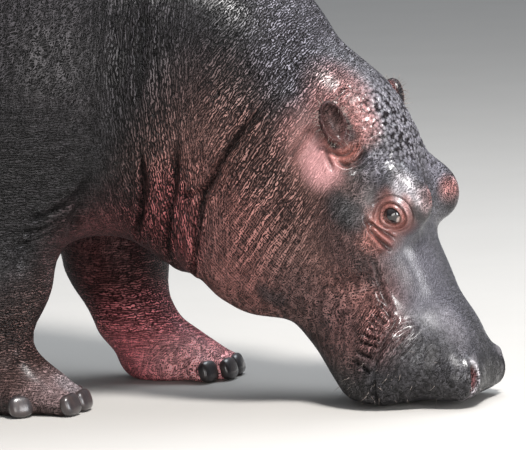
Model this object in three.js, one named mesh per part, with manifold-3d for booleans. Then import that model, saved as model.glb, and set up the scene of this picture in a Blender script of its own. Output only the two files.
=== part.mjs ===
// A life-size hippopotamus cow, standing with her head lowered to drink.
// Millimetres, +X towards the head, +Y to the animal's left, +Z up, soles at z = 0.
import * as THREE from "three";
import { mergeVertices } from "three/addons/utils/BufferGeometryUtils.js";
import Module from "manifold-3d";

const wasm = await Module();
wasm.setup();
const degrees = THREE.MathUtils.degToRad;

// ---------------------------------------------------------------- driving dimensions
const POLL = { x: 788, z: 748 }; // the top of the head, between the ears
const HEAD_PITCH = degrees(67); // how far the head points down
const FORE_SPREAD = 252; // from the middle plane to the middle of a forefoot
const HIND_SPREAD = 235;
const HIND_STATION = -1330; // x of the right hind foot, behind the forefeet
const STEP = 183; // how far the left forefoot stands ahead of the right one
const HIND_STEP = -105;
const ANKLE = 118; // height at which the feet are parted from the legs
const CUT = 1.2; // width of the thin cuts that part the body
const CLEAR = 0.4; // gap left where one piece is cut by another

// ---------------------------------------------------------------- fields
// A field is negative inside the hide, zero on it and positive outside, in millimetres.

/** A rounded mass. power 2 is an ellipsoid, and more is squarer. pitch turns it nose down. */
function lobe(at, half, { power = 2, pitch = 0, toe = 0 } = {}) {
  const [cp, sp] = [Math.cos(pitch), Math.sin(pitch)];
  const [ct, st] = [Math.cos(toe), Math.sin(toe)];
  return (px, py, pz) => {
    const [dx, dy, dz] = [px - at[0], py - at[1], pz - at[2]];
    const level = dx * ct + dy * st;
    const a = Math.abs((level * cp - dz * sp) / half[0]);
    const b = Math.abs((dy * ct - dx * st) / half[1]);
    const c = Math.abs((level * sp + dz * cp) / half[2]);
    const k = (a ** power + b ** power + c ** power) ** (1 / power) + 1e-6;
    const slope = Math.hypot(
      a ** (power - 1) / half[0], b ** (power - 1) / half[1], c ** (power - 1) / half[2]);
    return (k - 1) / (slope * k ** (1 - power) + 1e-6);
  };
}

/** A round limb from one joint to the next, tapering between two radii. */
function limb(from, to, fromRadius, toRadius) {
  const start = new THREE.Vector3(...from);
  const line = new THREE.Line3(start, new THREE.Vector3(...to));
  const nearest = new THREE.Vector3();
  const point = new THREE.Vector3();
  return (x, y, z) => {
    const t = line.closestPointToPointParameter(point.set(x, y, z), true);
    return line.at(t, nearest).distanceTo(point) - THREE.MathUtils.lerp(fromRadius, toRadius, t);
  };
}

/** Two surfaces melted together over a fillet of about that width. */
function melt(a, b, width) {
  const h = Math.max(width - Math.abs(a - b), 0) / width;
  return Math.min(a, b) - (h * h * width) / 4;
}

/** Several masses melted into one. */
const merged = (width, masses) => (x, y, z) =>
  masses.reduce((sum, mass) => melt(sum, mass(x, y, z), width), 1e6);

/** A mass and its mirror image on the other side. */
const pair = (mass, width = 40) => (x, y, z) => melt(mass(x, y, z), mass(x, -y, z), width);

const grown = (field, by) => (x, y, z) => field(x, y, z) - by;

// ---------------------------------------------------------------- the head's own frame
// s runs from the poll to the muzzle, y to the left, and d is dorsal, out of the forehead.
const along = [Math.cos(HEAD_PITCH), -Math.sin(HEAD_PITCH)];
const dorsal = [Math.sin(HEAD_PITCH), Math.cos(HEAD_PITCH)];
const fromHead = (s, y, d) => new THREE.Vector3(
  POLL.x + s * along[0] + d * dorsal[0], y, POLL.z + s * along[1] + d * dorsal[1]);
const inHead = (field) => (x, y, z) => {
  const [dx, dz] = [x - POLL.x, z - POLL.z];
  return field(dx * along[0] + dz * along[1], y, dx * dorsal[0] + dz * dorsal[1]);
};

const EYE = { s: 299, y: 130, d: -41, radius: 23.5 };
const EAR = { s: 50.5, thick: 20, wide: 31, tall: 54 };
const EAR_SET = { // the left ear is pricked further up and turned out
  right: { y: 162, d: -75, heading: degrees(50), splay: 0.36 },
  left: { y: 152.6, d: -38.6, heading: degrees(78), splay: 0 },
};
const NOSTRIL = { s: 724, y: 96, d: -35 };
const LIP_CORNER = { s: 514, y: 150, d: -119 };
const LIP_HEIGHT = 8; // the lips stop this far above the floor

const skull = merged(60, [
  lobe([100, 0, -126], [222, 150, 148], { power: 2.2 }), // braincase
  lobe([200, 0, -100], [150, 128, 108]), // brow between the eyes
  pair(lobe([282, 96, -16], [70, 50, 62])), // the raised sockets
  pair(lobe([250, 120, -200], [150, 75, 110])), // cheekbones
  lobe([436, 0, -154], [250, 114, 126], { power: 2.5 }), // the narrow bridge
  lobe([590, 0, -215], [140, 188, 120], { power: 2.6 }), // the broad upper lip
  lobe([640, 0, -112], [106, 124, 90], { power: 2.4 }), // the nose
  pair(lobe([712, 88, -82], [44, 46, 50])), // the nostril mounds
  lobe([702, 0, -102], [50, 80, 50]), // the flat front between them
]);
const mandible = merged(70, [
  pair(lobe([238, 122, -368], [172, 92, 168])), // jaw muscle over the jaw's corner
  lobe([450, 0, -285], [230, 150, 120], { pitch: -0.3 }), // floor of the jaw
  lobe([600, 0, -262], [112, 150, 95], { power: 2.4 }), // chin and lower lip
]);
const freeHead = inHead((s, y, d) => melt(skull(s, y, d), mandible(s, y, d), 55));
const headField = (x, y, z) => -melt(-freeHead(x, y, z), z - LIP_HEIGHT, 30);

// ---------------------------------------------------------------- body
const torso = merged(200, [
  lobe([-1290, 0, 830], [395, 395, 430]), // rump
  lobe([-820, 0, 855], [760, 455, 450]), // loins and back
  lobe([-660, 0, 760], [660, 485, 435]), // belly
  lobe([-80, 0, 850], [460, 375, 465]), // chest
  pair(lobe([-50, 240, 740], [210, 150, 380])), // shoulders
  pair(lobe([-1290, 240, 640], [230, 150, 380])), // thighs
]);
const neck = merged(120, [
  lobe([330, 0, 752], [440, 270, 348], { pitch: 0.75 }), // the thick neck
  lobe([330, 0, 480], [120, 150, 180]), // the throat's hanging fold
  pair(lobe([450, 110, 430], [90, 70, 90])), // fullness behind the jaw
]);
const body = (x, y, z) => melt(
  melt(torso(x, y, z), neck(x, y, z), 160), headField(x, y, z), 60);

// ---------------------------------------------------------------- wrapping
/**
 * The profile of a lathe of unit radius that is wrapped round a field: its height runs from
 * 0 to 1 along the axis, and a round end goes a unit past it. Flat ends close on the axis.
 * Rings crowd towards the far end when ease is more than 1.
 */
function sleeve({ rings, roundStart = 0, roundEnd = 0, ease = 1 }) {
  const quarter = (i, count) => (i / count) * (Math.PI / 2);
  const profile = roundStart ? [] : [new THREE.Vector2(0, 0)];
  for (let i = 0; i < roundStart; i += 1) {
    const turn = quarter(i, roundStart);
    profile.push(new THREE.Vector2(Math.sin(turn), -Math.cos(turn)));
  }
  for (let i = 0; i <= rings; i += 1) {
    profile.push(new THREE.Vector2(1, 1 - (1 - i / rings) ** ease));
  }
  for (let i = 1; i <= roundEnd; i += 1) {
    const turn = quarter(i, roundEnd);
    profile.push(new THREE.Vector2(Math.cos(turn), 1 + Math.sin(turn)));
  }
  if (!roundEnd) profile.push(new THREE.Vector2(0, 1));
  profile.at(-1).x = 0;
  return profile;
}

/** How far the hide is from a point inside it, along a direction. */
function reach(field, from, way) {
  const at = (r) => field(from.x + way.x * r, from.y + way.y * r, from.z + way.z * r);
  let near = 0;
  let far = 0;
  for (let gap = at(0); gap < 0 && far < 2000; gap = at(far)) {
    near = far;
    far += Math.max(2, -gap * 0.7);
  }
  for (let i = 0; i < 22; i += 1) {
    const middle = (near + far) / 2;
    if (at(middle) > 0) far = middle;
    else near = middle;
  }
  return near;
}

/**
 * Wraps a lathe round a field, its vertices going outwards from a stretch of an axis curve.
 * The rings stand square to the axis, or lie level if it runs down an upright limb.
 */
function wrap(field, axis, sides, profile, { from = 0, to = 1, level = false } = {}) {
  const geometry = new THREE.LatheGeometry(profile, sides);
  const vertex = geometry.getAttribute("position");
  const [way, side, up] = [new THREE.Vector3(), new THREE.Vector3(), new THREE.Vector3()];
  for (let i = 0; i < vertex.count; i += 1) {
    const h = THREE.MathUtils.clamp(vertex.getY(i), 0, 1);
    const share = from + (to - from) * h;
    const point = axis.getPointAt(share);
    const forward = level ? new THREE.Vector3(0, 0, -1) : axis.getTangentAt(share);
    side.set(0, 1, 0).addScaledVector(forward, -forward.y).normalize();
    up.crossVectors(forward, side);
    way.set(0, 0, 0)
      .addScaledVector(side, vertex.getX(i))
      .addScaledVector(up, vertex.getZ(i))
      .addScaledVector(forward, vertex.getY(i) - h);
    if (way.lengthSq() > 1e-8) point.addScaledVector(way.normalize(), reach(field, point, way));
    vertex.setXYZ(i, point.x, point.y, point.z);
  }
  return solid(geometry);
}

/** A closed geometry as a solid that can be joined and cut, with its faces pointing out. */
function solid(geometry) {
  geometry.deleteAttribute("normal");
  geometry.deleteAttribute("uv");
  const closed = mergeVertices(geometry, 1e-2);
  const vertProperties = closed.getAttribute("position").array;
  const triVerts = Uint32Array.from(closed.index.array);
  const made = new wasm.Manifold(new wasm.Mesh({ numProp: 3, vertProperties, triVerts }));
  if (made.volume() > 0) return made;
  triVerts.reverse();
  return new wasm.Manifold(new wasm.Mesh({ numProp: 3, vertProperties, triVerts }));
}

/** A joined or cut solid as a three.js geometry again. */
function geometryOf(part) {
  const mesh = part.getMesh();
  return new THREE.BufferGeometry()
    .setAttribute("position", new THREE.BufferAttribute(Float32Array.from(mesh.vertProperties), 3))
    .setIndex(new THREE.BufferAttribute(Uint32Array.from(mesh.triVerts), 1));
}

/** An egg with three half lengths, turned by Euler angles and moved to its place. */
function egg(at, half, turn = [0, 0, 0], [around, down] = [14, 9]) {
  const geometry = new THREE.SphereGeometry(1, around, down).scale(...half);
  geometry.applyMatrix4(new THREE.Matrix4().makeRotationFromEuler(new THREE.Euler(...turn)));
  return solid(geometry.translate(at.x, at.y, at.z));
}

// ---------------------------------------------------------------- trunk, neck and head
const spine = new THREE.CatmullRomCurve3([
  ...[[-1400, 820], [-1000, 830], [-500, 825], [-60, 805], [210, 735], [430, 620], [590, 480]].map(
    ([x, z]) => new THREE.Vector3(x, 0, z)),
  fromHead(330, 0, -230), fromHead(590, 0, -165)]);

/** The share of an axis's length at which one of its coordinates first passes a value. */
function shareAt(axis, coordinate, value) {
  const start = axis.getPointAt(0)[coordinate] < value;
  let [low, high] = [0, 1];
  for (let i = 0; i < 24; i += 1) {
    const middle = (low + high) / 2;
    if (axis.getPointAt(middle)[coordinate] < value === start) low = middle;
    else high = middle;
  }
  return low;
}
const neckShare = shareAt(spine, "x", 262);
const headShare = shareAt(spine, "x", 552);
const cutShare = CUT / spine.getLength();
const trunkPiece = (by = 0) => wrap(
  grown(body, by), spine, 28, sleeve({ rings: 16, roundStart: 5 }), { to: neckShare });
const neckPiece = (by = 0) => wrap(
  grown(body, by), spine, 34, sleeve({ rings: 6 }), { from: neckShare + cutShare, to: headShare });
const headPiece = (by = 0) => wrap(
  grown(body, by), spine, 37, sleeve({ rings: 19, roundEnd: 5 }), { from: headShare + cutShare });
const trunkCutter = trunkPiece(CLEAR);

// ---------------------------------------------------------------- legs and feet
// Each toe runs from a root to a tip: ahead of the middle of the foot, and towards the inside.
const TOES = [
  { name: "outer", root: [-34, -42], tip: [2, -78], thick: [45, 28] },
  { name: "outer_middle", root: [8, -32], tip: [104, -46], thick: [46, 31] },
  { name: "inner_middle", root: [8, 14], tip: [108, 17], thick: [46, 31] },
  { name: "inner", root: [-14, 40], tip: [78, 64], thick: [45, 28] },
];

/** The masses of a foot round its middle, with the toes in front. */
function footMasses({ foot, side, size }) {
  const at = ([ahead, inwards], height) => [
    foot[0] + ahead * size, foot[1] + inwards * size * side, height * size];
  const toes = TOES.map(({ root, tip, thick }) =>
    limb(at(root, 54), at(tip, 27), thick[0] * size, thick[1] * size));
  return merged(16, [lobe(at([-38, 0], 42), [116 * size, 90 * size, 62 * size]), ...toes]);
}

/** A leg's field, from the joint hidden in the trunk down to the sole. */
function legField({ joint, knee, wrist, foot, radii, side, size }) {
  const instep = [foot[0] + 40 * size, foot[1], 60 * size];
  return merged(60, [
    limb(joint, knee, radii[0], radii[1]),
    limb(knee, wrist, radii[1], radii[2]),
    limb(wrist, instep, radii[2] * 0.8, 34 * size),
    footMasses({ foot, side, size }),
  ]);
}

const LEGS = {
  right_fore: {
    joint: [-30, -235, 690], knee: [-74, -262, 320], wrist: [-108, -258, 160],
    foot: [-15, -FORE_SPREAD], radii: [128, 112, 82], side: 1, size: 1,
  },
  left_fore: {
    joint: [-30, 235, 690], knee: [4, 258, 300], wrist: [42, 254, 158],
    foot: [STEP - 15, FORE_SPREAD], radii: [128, 116, 88], side: -1, size: 1,
  },
  right_hind: {
    joint: [HIND_STATION + 50, -225, 690], knee: [HIND_STATION - 10, -245, 330],
    wrist: [HIND_STATION - 62, -238, 165],
    foot: [HIND_STATION, -HIND_SPREAD], radii: [150, 112, 76], side: 1, size: 0.92,
  },
  left_hind: {
    joint: [HIND_STATION + 30, 225, 690], knee: [HIND_STATION - 70, 245, 330],
    wrist: [HIND_STATION + HIND_STEP - 50, 238, 165],
    foot: [HIND_STATION + HIND_STEP, HIND_SPREAD], radii: [150, 112, 76], side: -1, size: 0.92,
  },
};

/** The leg, its foot and its four nails, as solids by name. */
function makeLeg(name, leg) {
  const field = legField(leg);
  const axis = new THREE.CatmullRomCurve3([
    new THREE.Vector3(...leg.joint),
    new THREE.Vector3(...leg.knee),
    new THREE.Vector3(...leg.wrist),
    new THREE.Vector3(leg.foot[0] - 20, leg.foot[1], 0),
  ]);
  const ankle = shareAt(axis, "z", ANKLE);
  const part = ankle + CUT / axis.getLength();
  const makeFoot = (by) => wrap(
    grown(field, by), axis, 28, sleeve({ rings: 5, ease: 1.5 }), { from: part, level: true });
  const socket = makeFoot(CLEAR);
  const upper = wrap(field, axis, 20, sleeve({ rings: 8 }), { to: ankle, level: true });
  const made = {
    [`${name}_leg`]: upper.subtract(trunkCutter),
    [`${name}_foot`]: makeFoot(0),
  };
  for (const { name: toe, root, tip, thick } of TOES) {
    const heading = Math.atan2((tip[1] - root[1]) * leg.side, tip[0] - root[0]);
    const half = [16, thick[1] * 0.95, 26].map((value) => value * leg.size);
    const out = (thick[1] + 4) * leg.size - half[0];
    const middle = new THREE.Vector3(
      leg.foot[0] + tip[0] * leg.size + out * Math.cos(heading),
      leg.foot[1] + tip[1] * leg.size * leg.side + out * Math.sin(heading), half[2] + 1);
    const nail = egg(middle, half, [0, -0.3, heading, "ZYX"], [8, 5]);
    made[`${name}_${toe}_nail`] = nail.subtract(socket);
  }
  return made;
}

// ---------------------------------------------------------------- tail
const tailAxis = new THREE.CatmullRomCurve3(
  [[-1590, 1030], [-1668, 990], [-1722, 900], [-1736, 780], [-1730, 650]].map(
    ([x, z]) => new THREE.Vector3(x, 0, z)));
const tailField = merged(30, [
  limb([-1590, 0, 1030], [-1668, 0, 985], 62, 48),
  limb([-1668, 0, 985], [-1724, 0, 880], 48, 30),
  limb([-1724, 0, 880], [-1733, 0, 660], 30, 14),
]);
const tail = wrap(tailField, tailAxis, 10, sleeve({ rings: 7, roundEnd: 2 })).subtract(trunkCutter);

// ---------------------------------------------------------------- head and what it carries
const headCutter = headPiece(CLEAR).add(neckPiece(CLEAR));
let head = headPiece();
const features = {};
for (const [side, sign] of [["right", -1], ["left", 1]]) {
  const eyeAt = fromHead(EYE.s, EYE.y * sign, EYE.d);
  const eyeball = (grow) => egg(eyeAt, Array(3).fill(EYE.radius + grow), [0, 0, 0], [10, 7]);
  features[`${side}_eye`] = eyeball(0);
  head = head.subtract(eyeball(CLEAR));

  const set = EAR_SET[side];
  const turn = [-set.splay * sign, 0.1, set.heading * sign, "ZYX"];
  const earAt = fromHead(EAR.s, set.y * sign, set.d);
  const facing = new THREE.Vector3(Math.cos(set.heading), Math.sin(set.heading) * sign, 0.3);
  const shell = egg(earAt, [EAR.thick, EAR.wide, EAR.tall], turn, [10, 8]);
  const cup = egg(earAt.clone().addScaledVector(facing, 19), [16, 23, 40], turn, [8, 6]);
  features[`${side}_ear`] = shell.subtract(cup).subtract(headCutter);

  const nostrilAt = fromHead(NOSTRIL.s, NOSTRIL.y * sign, NOSTRIL.d - 4);
  head = head.subtract(egg(nostrilAt, [27, 7, 20], [0, HEAD_PITCH, 0], [8, 5]));
}

/** The region below the lips and in front of the jaw's angle, shifted along s and d. */
function jawRegion(ds, dd) {
  const outline = new THREE.Shape().moveTo(860, -300);
  outline.splineThru([[700, -262], [600, -218], [548, -172], [LIP_CORNER.s, LIP_CORNER.d]].map(
    ([s, d]) => new THREE.Vector2(s, d)));
  outline.splineThru([[478, -170], [440, -260], [425, -360], [420, -560]].map(
    ([s, d]) => new THREE.Vector2(s, d)));
  outline.lineTo(860, -560);
  const block = new THREE.ExtrudeGeometry(
    outline, { depth: 600, bevelEnabled: false, curveSegments: 3 });
  const frame = new THREE.Matrix4().makeBasis(
    fromHead(1, 0, 0).sub(fromHead(0, 0, 0)), fromHead(0, 0, 1).sub(fromHead(0, 0, 0)),
    new THREE.Vector3(0, -1, 0));
  return solid(block.translate(ds, dd, -300).applyMatrix4(
    frame.setPosition(fromHead(0, 0, 0))));
}
const lowerJaw = head.intersect(jawRegion(0.3 * 2 * CUT, -2 * CUT));
head = head.subtract(jawRegion(0, 0));

// ---------------------------------------------------------------- assembly
const hippopotamus = new THREE.Group();
hippopotamus.name = "hippopotamus";
const paint = (color, roughness) =>
  new THREE.MeshStandardMaterial({ color, roughness, metalness: 0 });
const HIDE = paint(0x5b4f52, 0.6);
const NAIL = paint(0x2c2a2c, 0.45);
const EYEBALL = paint(0x1a1110, 0.1);
HIDE.name = "hide";
NAIL.name = "nail";
EYEBALL.name = "eye";

function place(name, part, material = HIDE) {
  const mesh = new THREE.Mesh(geometryOf(part), material);
  mesh.name = name;
  hippopotamus.add(mesh);
}
place("trunk", trunkPiece());
place("neck", neckPiece());
place("head", head);
place("lower_jaw", lowerJaw);
place("tail", tail);
for (const [name, part] of Object.entries(features)) {
  place(name, part, name.endsWith("eye") ? EYEBALL : HIDE);
}
for (const [name, leg] of Object.entries(LEGS)) {
  for (const [piece, part] of Object.entries(makeLeg(name, leg))) {
    place(piece, part, piece.endsWith("nail") ? NAIL : HIDE);
  }
}

// The origin is under the middle of the animal, on the floor.
const box = new THREE.Box3().setFromObject(hippopotamus);
const middle = box.getCenter(new THREE.Vector3());
for (const mesh of hippopotamus.children) {
  mesh.geometry.translate(-middle.x, -middle.y, -box.min.z);
}

export default hippopotamus;
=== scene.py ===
"""A life-size hippopotamus cow with her head lowered to the ground.

One hide replaces every solid of flesh. Eyes and nails are pieces of their own, and bristles
stand on the muzzle, the ears and the tail. Body shapes are worked out in millimetres in the
animal's own frame: +X towards the head, +Y to her left, +Z up from the soles, with x = 0
between the forefeet. Finished pieces are in metres in the row frame.
"""
from __future__ import annotations

import logging
import math
from dataclasses import dataclass
from enum import Enum
from itertools import combinations, product
from typing import Callable, Sequence

import bmesh
import bpy
import numpy as np
from mathutils import Matrix, Vector

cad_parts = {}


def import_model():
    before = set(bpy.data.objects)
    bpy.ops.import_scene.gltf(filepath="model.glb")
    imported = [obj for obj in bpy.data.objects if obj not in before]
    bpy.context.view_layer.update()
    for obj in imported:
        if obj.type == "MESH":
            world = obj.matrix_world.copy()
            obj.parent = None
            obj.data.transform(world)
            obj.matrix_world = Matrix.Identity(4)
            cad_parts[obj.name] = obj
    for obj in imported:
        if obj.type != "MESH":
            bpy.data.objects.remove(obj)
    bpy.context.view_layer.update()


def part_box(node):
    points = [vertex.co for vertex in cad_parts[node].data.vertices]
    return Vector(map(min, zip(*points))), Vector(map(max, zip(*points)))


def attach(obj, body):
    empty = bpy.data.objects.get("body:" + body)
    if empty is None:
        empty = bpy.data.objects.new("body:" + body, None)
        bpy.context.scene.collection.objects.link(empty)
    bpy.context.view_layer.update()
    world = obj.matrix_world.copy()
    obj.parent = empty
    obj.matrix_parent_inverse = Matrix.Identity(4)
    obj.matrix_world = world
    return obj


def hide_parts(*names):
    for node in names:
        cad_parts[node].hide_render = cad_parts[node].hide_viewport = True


Field = Callable[[np.ndarray], np.ndarray]
Point = tuple[float, float, float]
Colour = tuple[float, float, float]
Span = tuple[float, float]

LOG = logging.getLogger("hippopotamus")
BODY = "root"
SIDES = {"right": -1, "left": 1}
MM = 1000  # millimetres in a metre
FAR = 1e9  # further than anything, in millimetres
TINY = 1e-6  # keeps a quotient from dividing by 0


# ------------------------------------------------------------------ fields
# A field is negative inside the hide, zero on it and positive outside, in millimetres.
def lobe(at: Point, half: Point, power: float = 2.0, pitch: float = 0.0) -> Field:
    """A rounded mass.

    Args:
        at: its middle.
        half: its half lengths.
        power: 2 is an ellipsoid, and more is squarer.
        pitch: how far it is turned nose down, in radians.

    Returns:
        Its field.
    """
    cos, sin = math.cos(pitch), math.sin(pitch)

    def measure(p: np.ndarray) -> np.ndarray:
        dx, dy, dz = (p - at).T
        shares = (dx * cos - dz * sin) / half[0], dy / half[1], (dx * sin + dz * cos) / half[2]
        a, b, c = (np.abs(share) for share in shares)
        k = (a**power + b**power + c**power) ** (1 / power) + TINY
        steep = [(share ** (power - 1) / length) ** 2 for share, length in zip((a, b, c), half)]
        return (k - 1) / (np.sqrt(sum(steep)) * k ** (1 - power) + TINY)

    return measure


def limb(start: Point, end: Point, start_radius: float, end_radius: float) -> Field:
    """A round limb from one joint to the next, tapering between two radii."""
    origin = np.array(start, float)
    line = np.array(end, float) - origin

    def measure(p: np.ndarray) -> np.ndarray:
        share = np.clip((p - origin) @ line / (line @ line), 0, 1)
        gap = np.linalg.norm(p - origin - share[:, None] * line, axis=1)
        return gap - (start_radius + (end_radius - start_radius) * share)

    return measure


def melt(a: np.ndarray, b: np.ndarray, width: float) -> np.ndarray:
    """Two measured surfaces melted together over a fillet of about that width."""
    share = np.maximum(width - np.abs(a - b), 0) / width
    return np.minimum(a, b) - share * share * width / 4


def merged(width: float, masses: Sequence[Field]) -> Field:
    """Several masses melted into one."""

    def measure(p: np.ndarray) -> np.ndarray:
        total = masses[0](p)
        for mass in masses[1:]:
            total = melt(total, mass(p), width)
        return total

    return measure


def pair(mass: Field, width: float = 40.0) -> Field:
    """A mass and its mirror image on the other side."""
    return lambda p: melt(mass(p), mass(p * (1, -1, 1)), width)


def slope_of(measure: Field, p: np.ndarray, reach: float = 0.6) -> tuple[np.ndarray, np.ndarray]:
    """The value and the slope of a field at some points.

    Args:
        measure: the field.
        p: the points.
        reach: half the distance over which the slope is taken.

    Returns:
        The values, and the slopes as vectors.
    """
    corners = np.array([(1, 1, 1), (1, -1, -1), (-1, 1, -1), (-1, -1, 1)], float)
    values = [measure(p + corner * reach) for corner in corners]
    slope = sum(value[:, None] * corner for value, corner in zip(values, corners)) / (4 * reach)
    return sum(values) / 4, slope


def cells(p: np.ndarray, size: float, seed: int) -> np.ndarray:
    """How far points are from the nearest of some scattered seeds, as a share of their spacing.

    Args:
        p: the points.
        size: the seeds' spacing.
        seed: the number that fixes where they lie.

    Returns:
        The distances, from 0 at a seed to about 1 between seeds.
    """
    scramble = np.array([[127.1, 269.5, 113.5], [311.7, 183.3, 271.9], [74.7, 246.1, 124.6]])
    spread = 43758.5453
    q = p / size
    base = np.floor(q)
    best = np.full(len(p), FAR)
    for step in np.ndindex(3, 3, 3):
        cell = base + np.array(step) - 1
        jitter = np.modf(np.abs(np.sin(cell @ scramble + seed) * spread))[0]
        best = np.minimum(best, ((cell + jitter - q) ** 2).sum(1))
    return np.sqrt(best)


def unit(v: np.ndarray) -> np.ndarray:
    """Vectors brought to length 1."""
    return v / (np.linalg.norm(v, axis=-1, keepdims=True) + 1e-9)


def soft(value: np.ndarray, low: float, high: float) -> np.ndarray:
    """0 below low, 1 above high and smooth between them, either way round."""
    share = np.clip((value - low) / (high - low), 0, 1)
    return share * share * (3 - 2 * share)


def hump(value: np.ndarray, at: float, width: float) -> np.ndarray:
    """A smooth hump 1 high at one value, falling away on both sides."""
    return np.exp(-(((value - at) / width) ** 2))


# ------------------------------------------------------------------ the body plan
@dataclass(frozen=True)
class HeadFrame:
    """The head's own frame: s from the poll to the muzzle, y to the left, d out of the forehead."""

    poll_x: float = 788.0
    poll_z: float = 748.0
    pitch: float = math.radians(67)

    def axes(self) -> np.ndarray:
        """The directions of s, y and d, as rows."""
        cos, sin = math.cos(self.pitch), math.sin(self.pitch)
        return np.array([(cos, 0, -sin), (0, 1, 0), (sin, 0, cos)])

    def out(self, points: Sequence[Point] | np.ndarray) -> np.ndarray:
        """Points of the head's frame in the animal's frame."""
        return np.asarray(points, float) @ self.axes() + (self.poll_x, 0, self.poll_z)

    def into(self, points: np.ndarray) -> np.ndarray:
        """Points of the animal's frame in the head's frame."""
        return (points - (self.poll_x, 0, self.poll_z)) @ self.axes().T


@dataclass(frozen=True)
class Toe:
    """A toe: ahead of the middle of the foot and towards the inside, from root to tip."""

    name: str
    root: tuple[float, float]
    tip: tuple[float, float]
    thick: tuple[float, float]


@dataclass(frozen=True)
class Leg:
    """A leg from the joint hidden in the trunk down to the sole."""

    name: str
    joint: Point
    knee: Point
    wrist: Point
    foot: tuple[float, float]
    radii: Point
    side: int
    size: float = 1.0


TOES = (
    Toe("outer", (-34, -42), (2, -78), (45, 28)),
    Toe("outer_middle", (8, -32), (104, -46), (46, 31)),
    Toe("inner_middle", (8, 14), (108, 17), (46, 31)),
    Toe("inner", (-14, 40), (78, 64), (45, 28)),
)
LEGS = (
    Leg("right_fore", (-30, -235, 690), (-74, -262, 320), (-108, -258, 160), (-15, -252),
        (128, 112, 82), 1),
    Leg("left_fore", (-30, 235, 690), (4, 258, 300), (42, 254, 158), (168, 252),
        (128, 116, 88), -1),
    Leg("right_hind", (-1280, -225, 690), (-1340, -245, 330), (-1392, -238, 165), (-1330, -235),
        (150, 112, 76), 1, 0.92),
    Leg("left_hind", (-1300, 225, 690), (-1400, 245, 330), (-1485, 238, 165), (-1435, 235),
        (150, 112, 76), -1, 0.92),
)


@dataclass(frozen=True)
class Ear:
    """An ear's leaf, its place and the way it faces."""

    sign: int
    at: Point
    heading: float
    splay: float
    thick: float = 20.0
    wide: float = 31.0
    tall: float = 54.0
    lean: float = 0.1
    hollow: float = 27.0
    hollow_round: float = 0.6
    hollow_wide: float = 0.8
    hollow_tall: float = 0.84
    hollow_up: float = 4.0
    hollow_within: Span = (-2.0, 28.0)

    def axes(self) -> np.ndarray:
        """The directions it faces, spreads and rises in, as rows."""
        turn = (
            Matrix.Rotation(self.heading * self.sign, 3, "Z")
            @ Matrix.Rotation(self.lean, 3, "Y")
            @ Matrix.Rotation(-self.splay * self.sign, 3, "X")
        )
        return np.array(turn).T

    def middle(self, head: HeadFrame) -> np.ndarray:
        """The middle of the leaf in the animal's frame."""
        return head.out([self.at])[0]

    def local(self, p: np.ndarray, head: HeadFrame) -> np.ndarray:
        """Points of the animal's frame in the ear's own axes."""
        return (p - self.middle(head)) @ self.axes().T

    def inner_share(self, local: np.ndarray) -> np.ndarray:
        """How far points are from the middle of the leaf's hollow, with 1 at its rim."""
        across = local[:, 1] / (self.wide * self.hollow_wide)
        return np.hypot(across, (local[:, 2] - self.hollow_up) / (self.tall * self.hollow_tall))

    def reach(self, local: np.ndarray) -> np.ndarray:
        """How far points are from the middle of the leaf, with 1 on its surface."""
        return np.linalg.norm(local / (self.thick, self.wide, self.tall), axis=1)

    def washes(self, p: np.ndarray, head: HeadFrame) -> list[tuple[np.ndarray, HideTones]]:
        """The leaf's colours: how much of each there is at some points, in order."""
        local = self.local(p, head)
        share = self.inner_share(local)
        leaf = soft(self.reach(local), 1.5, 1.1)
        hollow = leaf * soft(local[:, 0], -6, 4) * soft(share, 1.1, 0.75)
        back = leaf * soft(local[:, 0], 6, -4)
        return [
            (leaf * 0.8, HideTones.MAROON),
            (back * soft(share, 0.95, 0.5), HideTones.ROSE),
            # the dark rim on the back: partly the ear's own dark edge, partly painted shadow under
            # the rim
            (back * soft(share, 0.85, 1.1), HideTones.BLACK_AND_SHADE),
            (hollow * 0.9, HideTones.UMBER),
        ]

    def fringe(self, p: np.ndarray, head: HeadFrame) -> np.ndarray:
        """How thickly bristles stand on the leaf's rim at some points."""
        local = self.local(p, head)
        rim = soft(self.reach(local), 1.3, 1.1) * soft(self.inner_share(local), 0.95, 1.15)
        return 0.7 * rim

    def leaf(self, head: HeadFrame) -> Field:
        """The leaf's field, without its hollow."""
        shape = lobe((0, 0, 0), (self.thick, self.wide, self.tall))
        return lambda p: shape(self.local(p, head))


EARS = {
    "right": Ear(-1, (50.5, -162.0, -75.0), math.radians(50), 0.36),
    "left": Ear(1, (50.5, 152.6, -38.6), math.radians(78), 0.0),
}


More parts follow.
